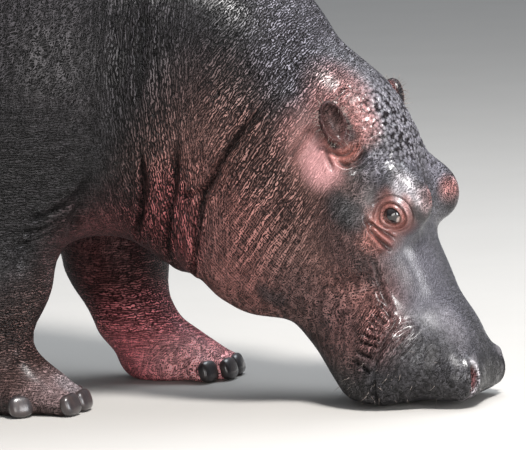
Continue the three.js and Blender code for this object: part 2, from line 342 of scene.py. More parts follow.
@dataclass(frozen=True)
class Nostril:
    """A slanting slit with a raised rim, in the head's frame."""

    at: Point = (718.0, 104.0, -34.0)
    half_long: float = 26.0
    half_wide: float = 9.5
    slant: float = 0.12
    depth: float = 22.0
    wall: Span = (1.2, 0.65)
    rim: Span = (1.6, 0.4)
    rim_rise: float = 3.5
    reach: float = 80.0
    behind: float = -55.0
    widest_share: float = 5.0

    def local(self, p: np.ndarray, head: HeadFrame, sign: int) -> np.ndarray:
        """Points of the animal's frame, seen from the slit's middle with y away from the nose."""
        return (head.into(p) - np.array(self.at) * (1, sign, 1)) * (1, sign, 1)

    def share(self, p: np.ndarray, head: HeadFrame, sign: int) -> tuple[np.ndarray, np.ndarray]:
        """How far points are from the middle of the slit, with 1 at its rim.

        Args:
            p: points on the hide.
            head: the head's frame.
            sign: the side, -1 for the right.

        Returns:
            The shares, and how far each point is towards the middle plane from the slit.
        """
        q = self.local(p, head, sign)
        across = q[:, 1] - self.slant * q[:, 0]
        share = np.hypot(q[:, 0] / self.half_long, across / self.half_wide)
        share[(np.linalg.norm(q, axis=1) > self.reach) | (q[:, 2] < self.behind)] = FAR
        return share, -across

    def washes(
            self, p: np.ndarray, head: HeadFrame, sign: int) -> list[tuple[np.ndarray, HideTones]]:
        """The slit's colours: how much of each there is at some points, in order."""
        share, inner = self.share(p, head, sign)
        rim = soft(share, 1.05, 1.2) * soft(share, 1.65, 1.4) * soft(inner, -3, 6)
        return [(soft(share, 1.2, 0.9), HideTones.MAROON), (rim * 0.5, HideTones.PALE_AND_HIGHLIGHT)]

    def lift(self, share: np.ndarray) -> np.ndarray:
        """How far the rim stands out and the slit is sunk."""
        return self.rim_rise * hump(share, *self.rim) - self.depth * soft(share, *self.wall)


@dataclass(frozen=True)
class BodyPlan:
    """The masses of the whole animal, melted into one hide.

    The fields that end in fillet say how widely two masses melt together.
    """

    head: HeadFrame = HeadFrame()
    eye: Point = (299.0, 130.0, -41.0)
    eye_radius: float = 23.5
    eye_gap: float = 0.3
    nostril: Nostril = Nostril()
    lip_height: float = 8.0
    neck_fillet: float = 160.0
    jaw_fillet: float = 55.0
    lip_fillet: float = 30.0
    head_fillet: float = 60.0
    leg_fillet: float = 50.0
    tail_fillet: float = 30.0
    ear_fillet: float = 14.0
    sole_fillet: float = 8.0

    def skull(self) -> Field:
        """The head above the lips, in the head's frame."""
        return merged(60, [
            lobe((100, 0, -126), (222, 150, 148), 2.2),
            lobe((200, 0, -100), (150, 128, 108)),
            pair(lobe((282, 96, -16), (70, 50, 62))),
            pair(lobe((250, 120, -200), (150, 75, 110))),
            lobe((436, 0, -154), (250, 114, 126), 2.5),
            lobe((590, 0, -215), (140, 188, 120), 2.6),
            lobe((640, 0, -112), (106, 124, 90), 2.4),
            pair(lobe((712, 88, -82), (44, 46, 50))),
            lobe((702, 0, -102), (50, 80, 50)),
        ])

    def mandible(self) -> Field:
        """The lower jaw and its muscles, in the head's frame."""
        return merged(70, [
            pair(lobe((238, 122, -368), (172, 92, 168))),
            lobe((450, 0, -285), (230, 150, 120), pitch=-0.3),
            lobe((600, 0, -262), (112, 150, 95), 2.4),
        ])

    def trunk(self) -> Field:
        """The barrel with the shoulders, the thighs and the neck."""
        torso = merged(200, [
            lobe((-1290, 0, 830), (395, 395, 430)),
            lobe((-820, 0, 855), (760, 455, 450)),
            lobe((-660, 0, 760), (660, 485, 435)),
            lobe((-80, 0, 850), (460, 375, 465)),
            pair(lobe((-50, 240, 740), (210, 150, 380))),
            pair(lobe((-1290, 240, 640), (230, 150, 380))),
        ])
        neck = merged(120, [
            lobe((330, 0, 752), (440, 270, 348), pitch=0.75),
            lobe((330, 0, 480), (120, 150, 180)),
            pair(lobe((450, 110, 430), (90, 70, 90))),
        ])
        return lambda p: melt(torso(p), neck(p), self.neck_fillet)

    def foot(self, leg: Leg) -> Field:
        """The pad of a foot with its four toes."""

        def at(spot: tuple[float, float], height: float) -> Point:
            return (leg.foot[0] + spot[0] * leg.size,
                    leg.foot[1] + spot[1] * leg.size * leg.side, height * leg.size)

        pad = lobe(at((-38, 0), 42), (116 * leg.size, 90 * leg.size, 62 * leg.size))
        toes = [limb(at(toe.root, 54), at(toe.tip, 27),
                     toe.thick[0] * leg.size, toe.thick[1] * leg.size) for toe in TOES]
        return merged(16, [pad, *toes])

    def limbs(self) -> list[Field]:
        """The four legs with their feet."""
        made = []
        for leg in LEGS:
            instep = (leg.foot[0] + 40 * leg.size, leg.foot[1], 60 * leg.size)
            made.append(merged(60, [
                limb(leg.joint, leg.knee, leg.radii[0], leg.radii[1]),
                limb(leg.knee, leg.wrist, leg.radii[1], leg.radii[2]),
                limb(leg.wrist, instep, leg.radii[2] * 0.8, 34 * leg.size),
                self.foot(leg),
            ]))
        return made

    def tail(self) -> Field:
        """The short hanging tail."""
        return merged(30, [
            limb((-1590, 0, 1030), (-1668, 0, 985), 62, 48),
            limb((-1668, 0, 985), (-1724, 0, 880), 48, 30),
            limb((-1724, 0, 880), (-1733, 0, 660), 30, 14),
        ])

    def hide(self) -> Field:
        """The whole hide, with the soles cut flat on the floor."""
        skull, mandible, trunk, tail = self.skull(), self.mandible(), self.trunk(), self.tail()
        legs = self.limbs()
        ears = [ear.leaf(self.head) for ear in EARS.values()]

        def measure(p: np.ndarray) -> np.ndarray:
            q = self.head.into(p)
            head = melt(skull(q), mandible(q), self.jaw_fillet)
            head = -melt(-head, p[:, 2] - self.lip_height, self.lip_fillet)
            total = melt(trunk(p), head, self.head_fillet)
            for leg in legs:
                total = melt(total, leg(p), self.leg_fillet)
            total = melt(total, tail(p), self.tail_fillet)
            for ear in ears:
                total = melt(total, ear(p), self.ear_fillet)
            return -melt(-total, p[:, 2], self.sole_fillet)

        return measure


# ------------------------------------------------------------------ the hide's mesh
def surface_net(
        measure: Field, low: Point, high: Point, step: float) -> tuple[np.ndarray, np.ndarray]:
    """A net of four-sided faces round a field, one vertex in each cell that it crosses.

    Args:
        measure: the field.
        low: the lowest corner of the box that is searched.
        high: its highest corner.
        step: the width of a cell.

    Returns:
        The vertices, and the faces as rows of four vertex numbers, facing outwards.
    """
    ticks = [np.arange(a, b + step, step) for a, b in zip(low, high)]
    shape = tuple(len(tick) for tick in ticks)
    values = np.empty(shape)
    across = np.stack(np.meshgrid(ticks[1], ticks[2], indexing="ij"), -1).reshape(-1, 2)
    for i, x in enumerate(ticks[0]):
        slab = np.column_stack([np.full(len(across), x), across])
        values[i] = measure(slab).reshape(shape[1:])
    inside = values < 0
    corners = np.array([(i, j, k) for i in (0, 1) for j in (0, 1) for k in (0, 1)])
    wide, deep, tall = (n - 1 for n in shape)
    count = sum(inside[i:i + wide, j:j + deep, k:k + tall].astype(int) for i, j, k in corners)
    active = np.argwhere((count > 0) & (count < len(corners)))
    held = np.stack([values[tuple((active + corner).T)] for corner in corners], 1)
    place, hits = np.zeros((len(active), 3)), np.zeros(len(active))
    for a, b in combinations(range(len(corners)), 2):
        if np.abs(corners[a] - corners[b]).sum() != 1:
            continue
        crossed = (held[:, a] < 0) != (held[:, b] < 0)
        gap = np.where(crossed, held[:, a] - held[:, b], 1)
        share = (held[:, a] / gap)[:, None]
        spot = corners[a] + (corners[b] - corners[a]) * share
        place += np.where(crossed[:, None], spot, 0)
        hits += crossed
    place = (active + place / hits[:, None]) * step + low
    number = np.full((wide, deep, tall), -1)
    number[tuple(active.T)] = np.arange(len(active))
    faces = []
    for axis in range(3):
        ahead = np.eye(3, dtype=int)[axis]
        one, two = np.eye(3, dtype=int)[(axis + 1) % 3], np.eye(3, dtype=int)[(axis + 2) % 3]
        far = tuple(slice(1, None) if d else slice(None) for d in ahead)
        near = tuple(slice(None, -1) if d else slice(None) for d in ahead)
        crossing = np.argwhere(inside[near] != inside[far])
        outward = inside[near][tuple(crossing.T)]
        ring = [number[tuple((crossing - shift).T)] for shift in (one + two, two, one * 0, one)]
        quads = np.stack(ring, 1)
        quads[~outward] = quads[~outward][:, ::-1]
        faces.append(quads)
    return place, np.concatenate(faces)


def points_of(me: bpy.types.Mesh) -> np.ndarray:
    """A mesh's vertices."""
    co = np.empty(len(me.vertices) * 3)
    me.vertices.foreach_get("co", co)
    return co.reshape(-1, 3)


def edges_of(me: bpy.types.Mesh) -> np.ndarray:
    """A mesh's edges as pairs of vertex numbers."""
    ends = np.empty(len(me.edges) * 2, int)
    me.edges.foreach_get("vertices", ends)
    return ends.reshape(-1, 2)


def write_layer(me: bpy.types.Mesh, name: str, values: np.ndarray) -> None:
    """Writes one number for each vertex as a named attribute."""
    layer = me.attributes.new(name, "FLOAT", "POINT")
    layer.data.foreach_set("value", values.astype(np.float32))


def mesh_of(name: str, points: np.ndarray, faces: np.ndarray) -> bpy.types.Mesh:
    """A mesh made from vertices and faces."""
    me = bpy.data.meshes.new(name)
    me.from_pydata(points.tolist(), [], faces.tolist())
    me.update()
    return me


def path_gap(p: np.ndarray, path: np.ndarray) -> tuple[np.ndarray, np.ndarray]:
    """How far points are from a bent line, and how far along it they are.

    Args:
        p: the points.
        path: the line's corners.

    Returns:
        The distances, and the shares of the line's length from 0 to 1.
    """
    lengths = np.linalg.norm(np.diff(path, axis=0), axis=1)
    starts = np.concatenate([[0], np.cumsum(lengths)])
    best, along = np.full(len(p), FAR), np.zeros(len(p))
    for start, end, length, before in zip(path, path[1:], lengths, starts):
        line = (end - start) / length
        reach = np.clip((p - start) @ line, 0, length)
        gap = np.linalg.norm(p - start - reach[:, None] * line, axis=1)
        nearer = gap < best
        best[nearer] = gap[nearer]
        along[nearer] = (before + reach[nearer]) / starts[-1]
    return best, along


def smooth_path(points: np.ndarray, pieces: int = 6) -> np.ndarray:
    """A bent line rounded off, through the same points."""
    padded = np.vstack([2 * points[0] - points[1], points, 2 * points[-1] - points[-2]])
    made = []
    for a, b, c, d in zip(padded, padded[1:], padded[2:], padded[3:]):
        for t in np.arange(pieces) / pieces:
            made.append(0.5 * (2 * b + (c - a) * t + (2 * a - 5 * b + 4 * c - d) * t**2
                               + (3 * b - a - 3 * c + d) * t**3))
    return np.array([*made, points[-1]])


class Frame(Enum):
    """The frame that a fold's points are given in."""

    HEAD = "head"
    BODY = "body"


class Side(Enum):
    """The side of the animal that a fold or a patch lies on."""

    BOTH = 0
    RIGHT = -1
    LEFT = 1

    def bring(self, p: np.ndarray) -> np.ndarray:
        """Points mirrored so that this side, or either side, has y above 0."""
        if self is Side.BOTH:
            return np.column_stack([p[:, 0], np.abs(p[:, 1]), p[:, 2]])
        return p * (1, -1, 1) if self is Side.RIGHT else p


@dataclass(frozen=True)
class Fold:
    """A furrow, or a ridge where rise is above 0, along a line on the hide.

    The points of a fold on both sides, or on the left, have y above 0.
    """

    points: tuple[Point, ...]
    width: float
    rise: float
    frame: Frame = Frame.HEAD
    side: Side = Side.BOTH
    taper: float = 0.25
    reach: float = 3.2
    lip: Point = (0.35, 1.9, 0.8)

    def path(self, head: HeadFrame) -> np.ndarray:
        """The corners of its line in the animal's frame."""
        path = np.array(self.points, float)
        return head.out(path) if self.frame is Frame.HEAD else path

    def gap(self, p: np.ndarray, head: HeadFrame, within: float) -> np.ndarray:
        """How far points are from its line, where they are within that distance of its box."""
        path, p = self.path(head), self.side.bring(p)
        gap = np.full(len(p), FAR)
        close = ((p > path.min(0) - within) & (p < path.max(0) + within)).all(1)
        gap[close] = path_gap(p[close], path)[0]
        return gap

    def apply(self, p: np.ndarray, head: HeadFrame) -> np.ndarray:
        """How far it lifts the hide at some points. A furrow has a low lip on both sides."""
        path, p = smooth_path(self.path(head)), self.side.bring(p)
        reach = self.reach * self.width
        close = ((p > path.min(0) - reach) & (p < path.max(0) + reach)).all(1)
        lift = np.zeros(len(p))
        gap, along = path_gap(p[close], path)
        ends = soft(along, 0, self.taper) * soft(along, 1, 1 - self.taper)
        shape = hump(gap, 0, self.width)
        if self.rise < 0:
            height, at, width = self.lip
            shape -= height * hump(gap, at * self.width, width * self.width)
        lift[close] = self.rise * shape * ends
        return lift


@dataclass(frozen=True)
class Patch:
    """A soft-edged zone of the hide with its own colour or finish."""

    at: Point
    half: Point
    amount: float = 1.0
    frame: Frame = Frame.HEAD
    side: Side = Side.BOTH
    edge: float = 0.55

    def apply(self, p: np.ndarray, head: HeadFrame) -> np.ndarray:
        """How much of it there is at some points, from 0 to its amount."""
        p = self.side.bring(head.into(p) if self.frame is Frame.HEAD else p)
        away = np.linalg.norm((p - np.array(self.at)) / self.half, axis=1)
        return self.amount * soft(away, 1 + self.edge, 1 - self.edge)


# The pebbles of the forehead: each layer's share of the height, its spacing and its seed.
PEBBLED = Patch((112, 45, 0), (112, 82, 60))
PEBBLES = ((1.0, 13.0, 5), (0.5, 7.0, 9))
PEBBLE_HEIGHT, PEBBLE_SINK = 6.0, 0.5

FOLDS = (
    # the folds round the eye
    Fold(((273, 158, -94), (289, 157, -100), (309, 145, -91), (335, 126, -80), (360, 108, -69)),
         4.5, -9),
    Fold(((290, 156, -98), (315, 149, -102), (352, 126, -97), (380, 108, -86)), 5, -10),
    Fold(((300, 152, -98), (325, 140, -93), (350, 121, -84), (368, 110, -76)), 8, 8),
    Fold(((318, 153, -108), (345, 138, -110), (370, 122, -106)), 9, 8),
    Fold(((263, 151, -76), (258, 147, -61), (254, 145, -40)), 4, -3),
    # from below the eye to the corner of the mouth
    Fold(((345, 155, -124), (398, 127, -142), (442, 120, -151), (470, 129, -149),
          (527, 151, -138)), 8, -7),
    # the ear's base
    Fold(((82, 150, -112), (83, 147, -91), (84, 143, -74), (87, 139, -60)), 4.5, -10),
    Fold(((93, 154, -122), (111, 154, -112), (127, 153, -95), (130, 149, -80), (124, 141, -60),
          (114, 133, -44)), 5, -9),
    Fold(((122, 155, -107), (146, 157, -98), (156, 152, -81), (152, 141, -57), (141, 133, -42),
          (129, 126, -32)), 5.5, -10),
    Fold(((172, 160, -95), (172, 148, -71), (172, 137, -49), (164, 120, -24)), 6, -7),
    Fold(((91, 160, -148), (95, 154, -123), (123, 160, -124), (160, 168, -120)), 5, -7),
    Fold(((92, 179, -218), (78, 172, -190), (52, 161, -148), (37, 154, -122)), 8, -5),
    Fold(((9, 130, -65), (-5, 113, -44), (-12, 96, -26)), 7, -5),
    # ripples behind the corner of the mouth
    Fold(((467, 135, -166), (499, 147, -150), (525, 153, -140)), 5, -8),
    Fold(((486, 152, -180), (512, 163, -165), (535, 167, -154)), 5, -8),
    Fold(((497, 163, -193), (520, 171, -176), (541, 172, -160)), 5, -8),
    Fold(((509, 172, -203), (527, 177, -184), (548, 176, -164)), 5, -8),
    Fold(((520, 179, -219), (537, 182, -198), (556, 181, -172)), 5, -8),
    Fold(((532, 184, -234), (547, 186, -211), (569, 186, -184)), 5, -8),
    Fold(((549, 187, -246), (569, 190, -228), (587, 189, -206)), 5, -8),
    Fold(((566, 185, -264), (592, 189, -245), (616, 188, -229)), 5, -8),
    # the line of the lips
    Fold(((514, 146, -130), (527, 151, -138), (546, 174, -160), (562, 183, -175), (592, 189, -206),
          (631, 187, -233), (665, 172, -250), (700, 120, -264), (712, 0, -268)), 5, -9, taper=0.05),
    # the mound above the nostril
    Fold(((686, 100, -24), (684, 86, -20)), 12, 4, taper=0.02),
    # the side of the snout
    Fold(((567, 184, -177), (549, 166, -146), (548, 142, -120), (551, 127, -98)), 7, -4),
    Fold(((593, 181, -167), (583, 168, -144), (568, 144, -117), (558, 126, -95)), 7, -4),
    Fold(((615, 175, -156), (593, 147, -116), (583, 134, -99)), 7, -3.5),
    # the throat, the neck and the nape
    Fold(((303, 281, 646), (301, 265, 598), (298, 247, 555), (284, 225, 505), (266, 199, 460),
          (239, 160, 417), (232, 80, 385), (230, 0, 375)), 7.5, -14, Frame.BODY, taper=0.2),
    Fold(((395, 260, 660), (382, 251, 599), (372, 237, 553), (358, 223, 508), (341, 208, 462),
          (327, 185, 415), (311, 150, 371), (305, 70, 330), (303, 0, 318)),
         7.5, -15, Frame.BODY, taper=0.2),
    Fold(((624, 178, 746), (583, 209, 706), (549, 222, 665), (521, 231, 630), (489, 230, 587),
          (462, 226, 546), (440, 223, 514), (423, 220, 473), (409, 212, 425), (396, 193, 369),
          (388, 173, 338), (384, 80, 322), (384, 0, 318)), 8.5, -18, Frame.BODY, taper=0.2),
    Fold(((364, 225, 514), (407, 225, 512), (435, 226, 524), (462, 226, 542)), 8, -8, Frame.BODY),
    # the skin hanging between them, and the corner of the jaw
    Fold(((349, 262, 653), (341, 258, 598), (335, 242, 554), (321, 224, 506), (303, 203, 461),
          (283, 172, 416), (271, 115, 378), (268, 0, 347)), 24, 9, Frame.BODY, taper=0.1),
    Fold(((430, 240, 600), (418, 232, 553), (405, 224, 510), (390, 215, 470), (368, 200, 420),
          (352, 172, 355), (348, 75, 326), (345, 0, 318)), 22, 9, Frame.BODY, taper=0.1),
    Fold(((150, 150, -500), (200, 170, -515), (260, 175, -505), (330, 160, -470)), 42, 10),
    Fold(((560, 0, 985), (646, 0, 908), (722, 0, 821), (766, 0, 783), (800, 0, 745)),
         8, -9, Frame.BODY),
    Fold(((324, 257, 1000), (325, 271, 923), (331, 276, 893), (321, 289, 847), (324, 292, 806),
          (314, 296, 766), (301, 294, 690)), 9, -9, Frame.BODY),
    # where the foreleg and the hind leg leave the trunk
    Fold(((185, 294, 580), (173, 296, 545), (147, 282, 496), (118, 252, 442), (95, 218, 405)),
         13, -10, Frame.BODY, Side.RIGHT),
    Fold(((30, 345, 470), (88, 322, 477), (148, 297, 517), (178, 294, 548)), 11, -8, Frame.BODY),
    Fold(((20, 350, 432), (70, 330, 440), (120, 290, 466)), 9, -6, Frame.BODY),
    Fold(((-60, 352, 418), (0, 350, 405), (60, 325, 412)), 9, -5, Frame.BODY),
    Fold(((-1080, 330, 470), (-1110, 350, 600), (-1090, 400, 720), (-1040, 440, 830)),
         20, -14, Frame.BODY),
    Fold(((-1420, 300, 500), (-1340, 350, 470), (-1260, 350, 480)), 14, -8, Frame.BODY),
)


@dataclass(frozen=True)
class Ring:
    """A ridge round the eye, or a furrow where rise is below 0."""

    at: float
    width: float
    rise: float
    rise_above: float = 0.0

    def lift(self, radius: np.ndarray, above: np.ndarray) -> np.ndarray:
        """How far it stands out at some distances from the eye, more where above nears 1."""
        return (self.rise + self.rise_above * above) * hump(radius, self.at, self.width)


@dataclass(frozen=True)
class Lids:
    """The ringed lids round an eye, in the eye's own frame: out of the head, u forwards, v up."""

    opening: float = 21.0
    rim: float = 7.0
    rim_gap: float = 1.0
    reach: float = 70.0
    fade: float = 20.0
    behind: float = -30.0
    sink: float = 5.0
    rings: tuple[Ring, ...] = (
        Ring(25.5, 4.6, 5.5, 1.5), Ring(31.5, 2.6, -5.5),
        Ring(38.0, 4.0, 3.5, 2.0), Ring(45.0, 3.2, -1.5, -4.0))

    def lift(self, radius: np.ndarray, turn: np.ndarray) -> np.ndarray:
        """How far the lids stand out of the hide.

        Args:
            radius: how far each point is from the middle of the eye, seen from outside.
            turn: its angle round the eye, 0 forwards and a quarter turn up.

        Returns:
            The lift in millimetres.
        """
        above = 0.5 + 0.5 * np.sin(turn)
        lids = sum(ring.lift(radius, above) for ring in self.rings)
        return lids * soft(radius, self.reach, self.reach - self.fade)


@dataclass(frozen=True)
class HideSizes:
    """How finely the hide is meshed and how it is measured, in millimetres.

    A blur is the reach over which a slope is taken. The eye's outward direction is taken
    eye_spot away from its middle.
    """

    coarse: float = 20.0
    steps: Point = (10.0, 5.0, 2.5)
    low: Point = (-1790.0, -540.0, -20.0)
    high: Point = (1130.0, 540.0, 1360.0)
    relax_rounds: int = 3
    face_from: float = 450.0
    face_below: float = -60.0
    feet_below: float = 150.0
    tail_behind: float = -1640.0
    ear_round: Span = (82.0, 0.0)
    nostril_round: Span = (60.0, 38.0)
    eye_round: Span = (92.0, 54.0)
    fold_round: Span = (2.2, 12.0)
    fold_margin: float = 60.0
    narrow_fold: float = 10.0
    pebbled_share: float = 0.4
    sculpt_blur: float = 3.0
    nostril_blur: float = 6.0
    eye_blur: float = 12.0
    eye_spot: Point = (0.0, 11.0, 2.0)
    longest_step: float = 12.0
    least_slope: float = 0.2
    relax_share: float = 0.5
    # painted shade in furrows and painted highlight on ridges: the relief that gives the full
    # amount, and the shares darker and paler
    shade_relief: float = 9.0
    shade_share: Span = (0.6, 0.25)


class Hide:
    """The one skin over the trunk, neck, head, jaw, ears, legs, feet and tail."""

    REPLACED = ("trunk", "neck", "head", "lower_jaw", "tail", "right_ear", "left_ear") + tuple(
        f"{leg.name}_{part}" for leg in LEGS for part in ("leg", "foot"))

    def __init__(self, plan: BodyPlan, place: np.ndarray, sizes: HideSizes = HideSizes()) -> None:
        """Starts the hide.

        Args:
            plan: the body.
            place: the animal's origin in the row frame, in millimetres.
            sizes: how finely the hide is meshed.
        """
        self.plan, self.place, self.sizes = plan, place, sizes
        self.field = plan.hide()
        self.lids = Lids()
        self.eyes = {side: self.eye_frame(sign) for side, sign in SIDES.items()}

    # -------------------------------------------------------------- building
    def eye_frame(self, sign: int) -> tuple[np.ndarray, np.ndarray]:
        """The middle of an eye and its directions out, forwards and up, as rows."""
        eye, mirror = np.array(self.plan.eye), (1, sign, 1)
        middle = self.plan.head.out([eye * mirror])[0]
        spot = self.plan.head.out([(eye + self.sizes.eye_spot) * mirror])
        out = unit(slope_of(self.field, spot, self.sizes.eye_blur)[1])[0]
        forwards = self.plan.head.axes()[0]
        forwards = unit(forwards - out * (forwards @ out))
        up = np.cross(out, forwards) * sign
        return middle, np.array([out, forwards, -up])

    def closeness(self, p: np.ndarray) -> np.ndarray:
        """The width of mesh wanted at some points."""
        plan, sizes = self.plan, self.sizes
        medium, fine, finest = sizes.steps
        wanted = np.full(len(p), sizes.coarse)
        wanted[(p[:, 0] > sizes.face_from) & (plan.head.into(p)[:, 0] > sizes.face_below)] = medium
        wanted[(p[:, 2] < sizes.feet_below) | (p[:, 0] < sizes.tail_behind)] = medium
        share, least = sizes.fold_round
        for fold in FOLDS:
            close = fold.gap(p, plan.head, sizes.fold_margin) < max(share * fold.width, least)
            width = fine if fold.width < sizes.narrow_fold else medium
            wanted[close] = np.minimum(wanted[close], width)
        for side, sign in SIDES.items():
            ear = np.linalg.norm(p - EARS[side].middle(plan.head), axis=1)
            nostril = np.linalg.norm(plan.nostril.local(p, plan.head, sign), axis=1)
            eye = np.linalg.norm(p - self.eyes[side][0], axis=1)
            for gap, (near, nearest) in (
                    (ear, sizes.ear_round), (nostril, sizes.nostril_round), (eye, sizes.eye_round)):
                wanted[gap < near] = fine
                wanted[gap < nearest] = finest
        wanted[PEBBLED.apply(p, plan.head) > sizes.pebbled_share] = finest
        return wanted

    def settle(self, p: np.ndarray, rounds: int = 3) -> np.ndarray:
        """Points moved on to the hide along its slope."""
        for _ in range(rounds):
            value, slope = slope_of(self.field, p)
            steep = np.maximum((slope**2).sum(1), self.sizes.least_slope)
            step = np.clip(value / steep, -self.sizes.longest_step, self.sizes.longest_step)
            p = p - slope * step[:, None]
        return p

    def relax(self, p: np.ndarray, edges: np.ndarray, rounds: int) -> np.ndarray:
        """Vertices spread evenly along the hide without leaving it."""
        degree = np.bincount(edges.ravel(), minlength=len(p))[:, None]
        for _ in range(rounds):
            total = np.zeros_like(p)
            for axis in range(3):
                total[:, axis] = np.bincount(edges[:, 0], p[edges[:, 1], axis], len(p))
                total[:, axis] += np.bincount(edges[:, 1], p[edges[:, 0], axis], len(p))
            p = self.settle(p + self.sizes.relax_share * (total / degree - p), 1)
        return p

    def refined(self, me: bpy.types.Mesh) -> bpy.types.Mesh:
        """The mesh with its faces split wherever it is wanted finer."""
        for width in self.sizes.steps:
            bm = bmesh.new()
            bm.from_mesh(me)
            p = np.array([v.co for v in bm.verts])
            wanted = self.closeness(p)
            bm.verts.ensure_lookup_table()
            marked = {i for i, value in enumerate(wanted) if value <= width}
            edges = set()
            for face in bm.faces:
                if any(v.index in marked for v in face.verts):
                    edges.update(face.edges)
            edges = sorted(edges, key=lambda e: e.index)
            bmesh.ops.subdivide_edges(bm, edges=edges, cuts=1, use_grid_fill=True)
            odd = [face for face in bm.faces if len(face.verts) > 4]
            bmesh.ops.triangulate(bm, faces=odd)
            bm.to_mesh(me)
            bm.free()
            p = self.relax(self.settle(points_of(me)), edges_of(me), self.sizes.relax_rounds)
            me.vertices.foreach_set("co", p.ravel())
            me.update()
            LOG.info("hide at %.1f mm: %d vertices", width, len(me.vertices))
        return me

    def build(self) -> bpy.types.Object:
        """Makes the hide, with its folds and its finish masks."""
        points, faces = surface_net(self.field, self.sizes.low, self.sizes.high, self.sizes.coarse)
        me = mesh_of("hide", points, faces)
        p = self.relax(self.settle(points), edges_of(me), self.sizes.relax_rounds)
        me.vertices.foreach_set("co", p.ravel())
        self.refined(me)
        p = points_of(me)
        sculpted, relief = self.sculpt(p)
        self.paint(me, p, relief)
        me.vertices.foreach_set("co", ((sculpted + self.place) / MM).ravel())
        me.polygons.foreach_set("use_smooth", np.ones(len(me.polygons), bool))
        me.update()
        piece = bpy.data.objects.new("hide", me)
        bpy.context.scene.collection.objects.link(piece)
        return piece

    # -------------------------------------------------------------- sculpting
    def sculpt(self, p: np.ndarray) -> tuple[np.ndarray, np.ndarray]:
        """The hide's points with every fold, lid, nostril and ear worked in.

        Args:
            p: points on the smooth hide.

        Returns:
            The moved points, and how far each was lifted or sunk.
        """
        normal = unit(slope_of(self.field, p, self.sizes.sculpt_blur)[1])
        relief = np.zeros(len(p))
        for fold in FOLDS:
            relief += fold.apply(p, self.plan.head)
        pebbled = PEBBLED.apply(p, self.plan.head)
        stones = pebbled > 0
        dome = sum(share * np.maximum(1 - cells(p[stones], size, seed) ** 2, 0)
                   for share, size, seed in PEBBLES)
        relief[stones] += pebbled[stones] * (PEBBLE_HEIGHT * dome - PEBBLE_SINK)
        moved = p + normal * relief[:, None]
        for side, sign in SIDES.items():
            moved = self.open_eye(moved, side)
            moved = self.hollow_ear(moved, EARS[side])
            moved = self.open_nostril(moved, sign)
        low = moved[:, 2] < 0
        moved[low, 2] = 0
        return moved, relief

    def open_eye(self, p: np.ndarray, side: str) -> np.ndarray:
        """Lids raised round an eye, and the hide sunk behind the eyeball."""
        middle, axes = self.eyes[side]
        local = (p - middle) @ axes.T
        lids = self.lids
        near = np.linalg.norm(local, axis=1) < lids.reach + lids.fade
        near &= local[:, 0] > lids.behind
        a, u, v = local[near].T
        radius, turn = np.hypot(u, v), np.arctan2(v, u)
        a = a + lids.lift(radius, turn)
        ball = np.sqrt(np.maximum(self.plan.eye_radius**2 - radius**2, 0))
        a = np.where(radius < lids.opening, np.minimum(a, ball - lids.sink), a)
        rim = (radius >= lids.opening) & (radius < lids.opening + lids.rim)
        a = np.where(rim, np.maximum(a, ball + lids.rim_gap), a)
        local[near] = np.column_stack([a, u, v])
        p = p.copy()
        p[near] = local[near] @ axes + middle
        return p

    def hollow_ear(self, p: np.ndarray, ear: Ear) -> np.ndarray:
        """The leaf of an ear pressed hollow on the side that it faces."""
        local = ear.local(p, self.plan.head)
        share = ear.inner_share(local)
        back, front = ear.hollow_within
        near = (share < 1) & (local[:, 0] > back) & (local[:, 0] < front)
        depth = ear.hollow * (1 - share[near] ** 2) ** ear.hollow_round
        p = p.copy()
        p[near] -= ear.axes()[0] * depth[:, None]
        return p

    def open_nostril(self, p: np.ndarray, sign: int) -> np.ndarray:
        """A slit sunk into the muzzle, with a raised rim."""
        share = self.plan.nostril.share(p, self.plan.head, sign)[0]
        near = share < self.plan.nostril.widest_share
        normal = unit(slope_of(self.field, p[near], self.sizes.nostril_blur)[1])
        p = p.copy()
        p[near] += normal * self.plan.nostril.lift(share[near])[:, None]
        return p

    # -------------------------------------------------------------- finish masks
    def tones(self, p: np.ndarray, relief: np.ndarray) -> np.ndarray:
        """The hide's colour at some points, with painted shade in furrows and painted highlight on
        ridges.
        """
        head = self.plan.head
        tone = np.tile(np.array(HideTones.BASE.value), (len(p), 1))
        washes = [(patch.apply(p, head), tint) for tint, patches in ZONES for patch in patches]
        for ear in EARS.values():
            washes += ear.washes(p, head)
        for sign in SIDES.values():
            washes += self.plan.nostril.washes(p, head, sign)
        for share, tint in washes:
            share = share[:, None]
            tone = tone * (1 - share) + np.array(tint.value) * share
        # painted shade where the hide is sunk and painted highlight where it is lifted
        shade = np.clip(relief / self.sizes.shade_relief, -1, 1)[:, None]
        darker, paler = self.sizes.shade_share
        return tone * (1 + np.where(shade < 0, darker, paler) * shade)

    def masks(self, p: np.ndarray) -> dict[str, np.ndarray]:
        """How much of each finish there is at some points."""
        head = self.plan.head
        masks = {name: np.zeros(len(p)) for name in MASKS}
        masks["wrinkles"] += 1
        for name, patches in MASKS.items():
            for patch in patches:
                share = patch.apply(p, head)
                if name == "wrinkles":
                    masks[name] *= 1 - share
                else:
                    masks[name] = np.maximum(masks[name], share)
        for ear in EARS.values():
            masks["bristles"] = np.maximum(masks["bristles"], ear.fringe(p, head))
        return masks

    def paint(self, me: bpy.types.Mesh, p: np.ndarray, relief: np.ndarray) -> None:
        """Writes the hide's colour and its finish masks on its vertices."""
        colour = me.color_attributes.new("tone", "FLOAT_COLOR", "POINT")
        tone = np.column_stack([self.tones(p, relief), np.ones(len(p))])
        colour.data.foreach_set("color", tone.ravel())
        masks = self.masks(p)
        grain = me.attributes.new("grain", "FLOAT_VECTOR", "POINT")
        ways = [masks.pop(name) for name in GRAINS]
        grain.data.foreach_set("vector", np.column_stack(ways).astype(np.float32).ravel())
        for name, values in masks.items():
            write_layer(me, name, values)


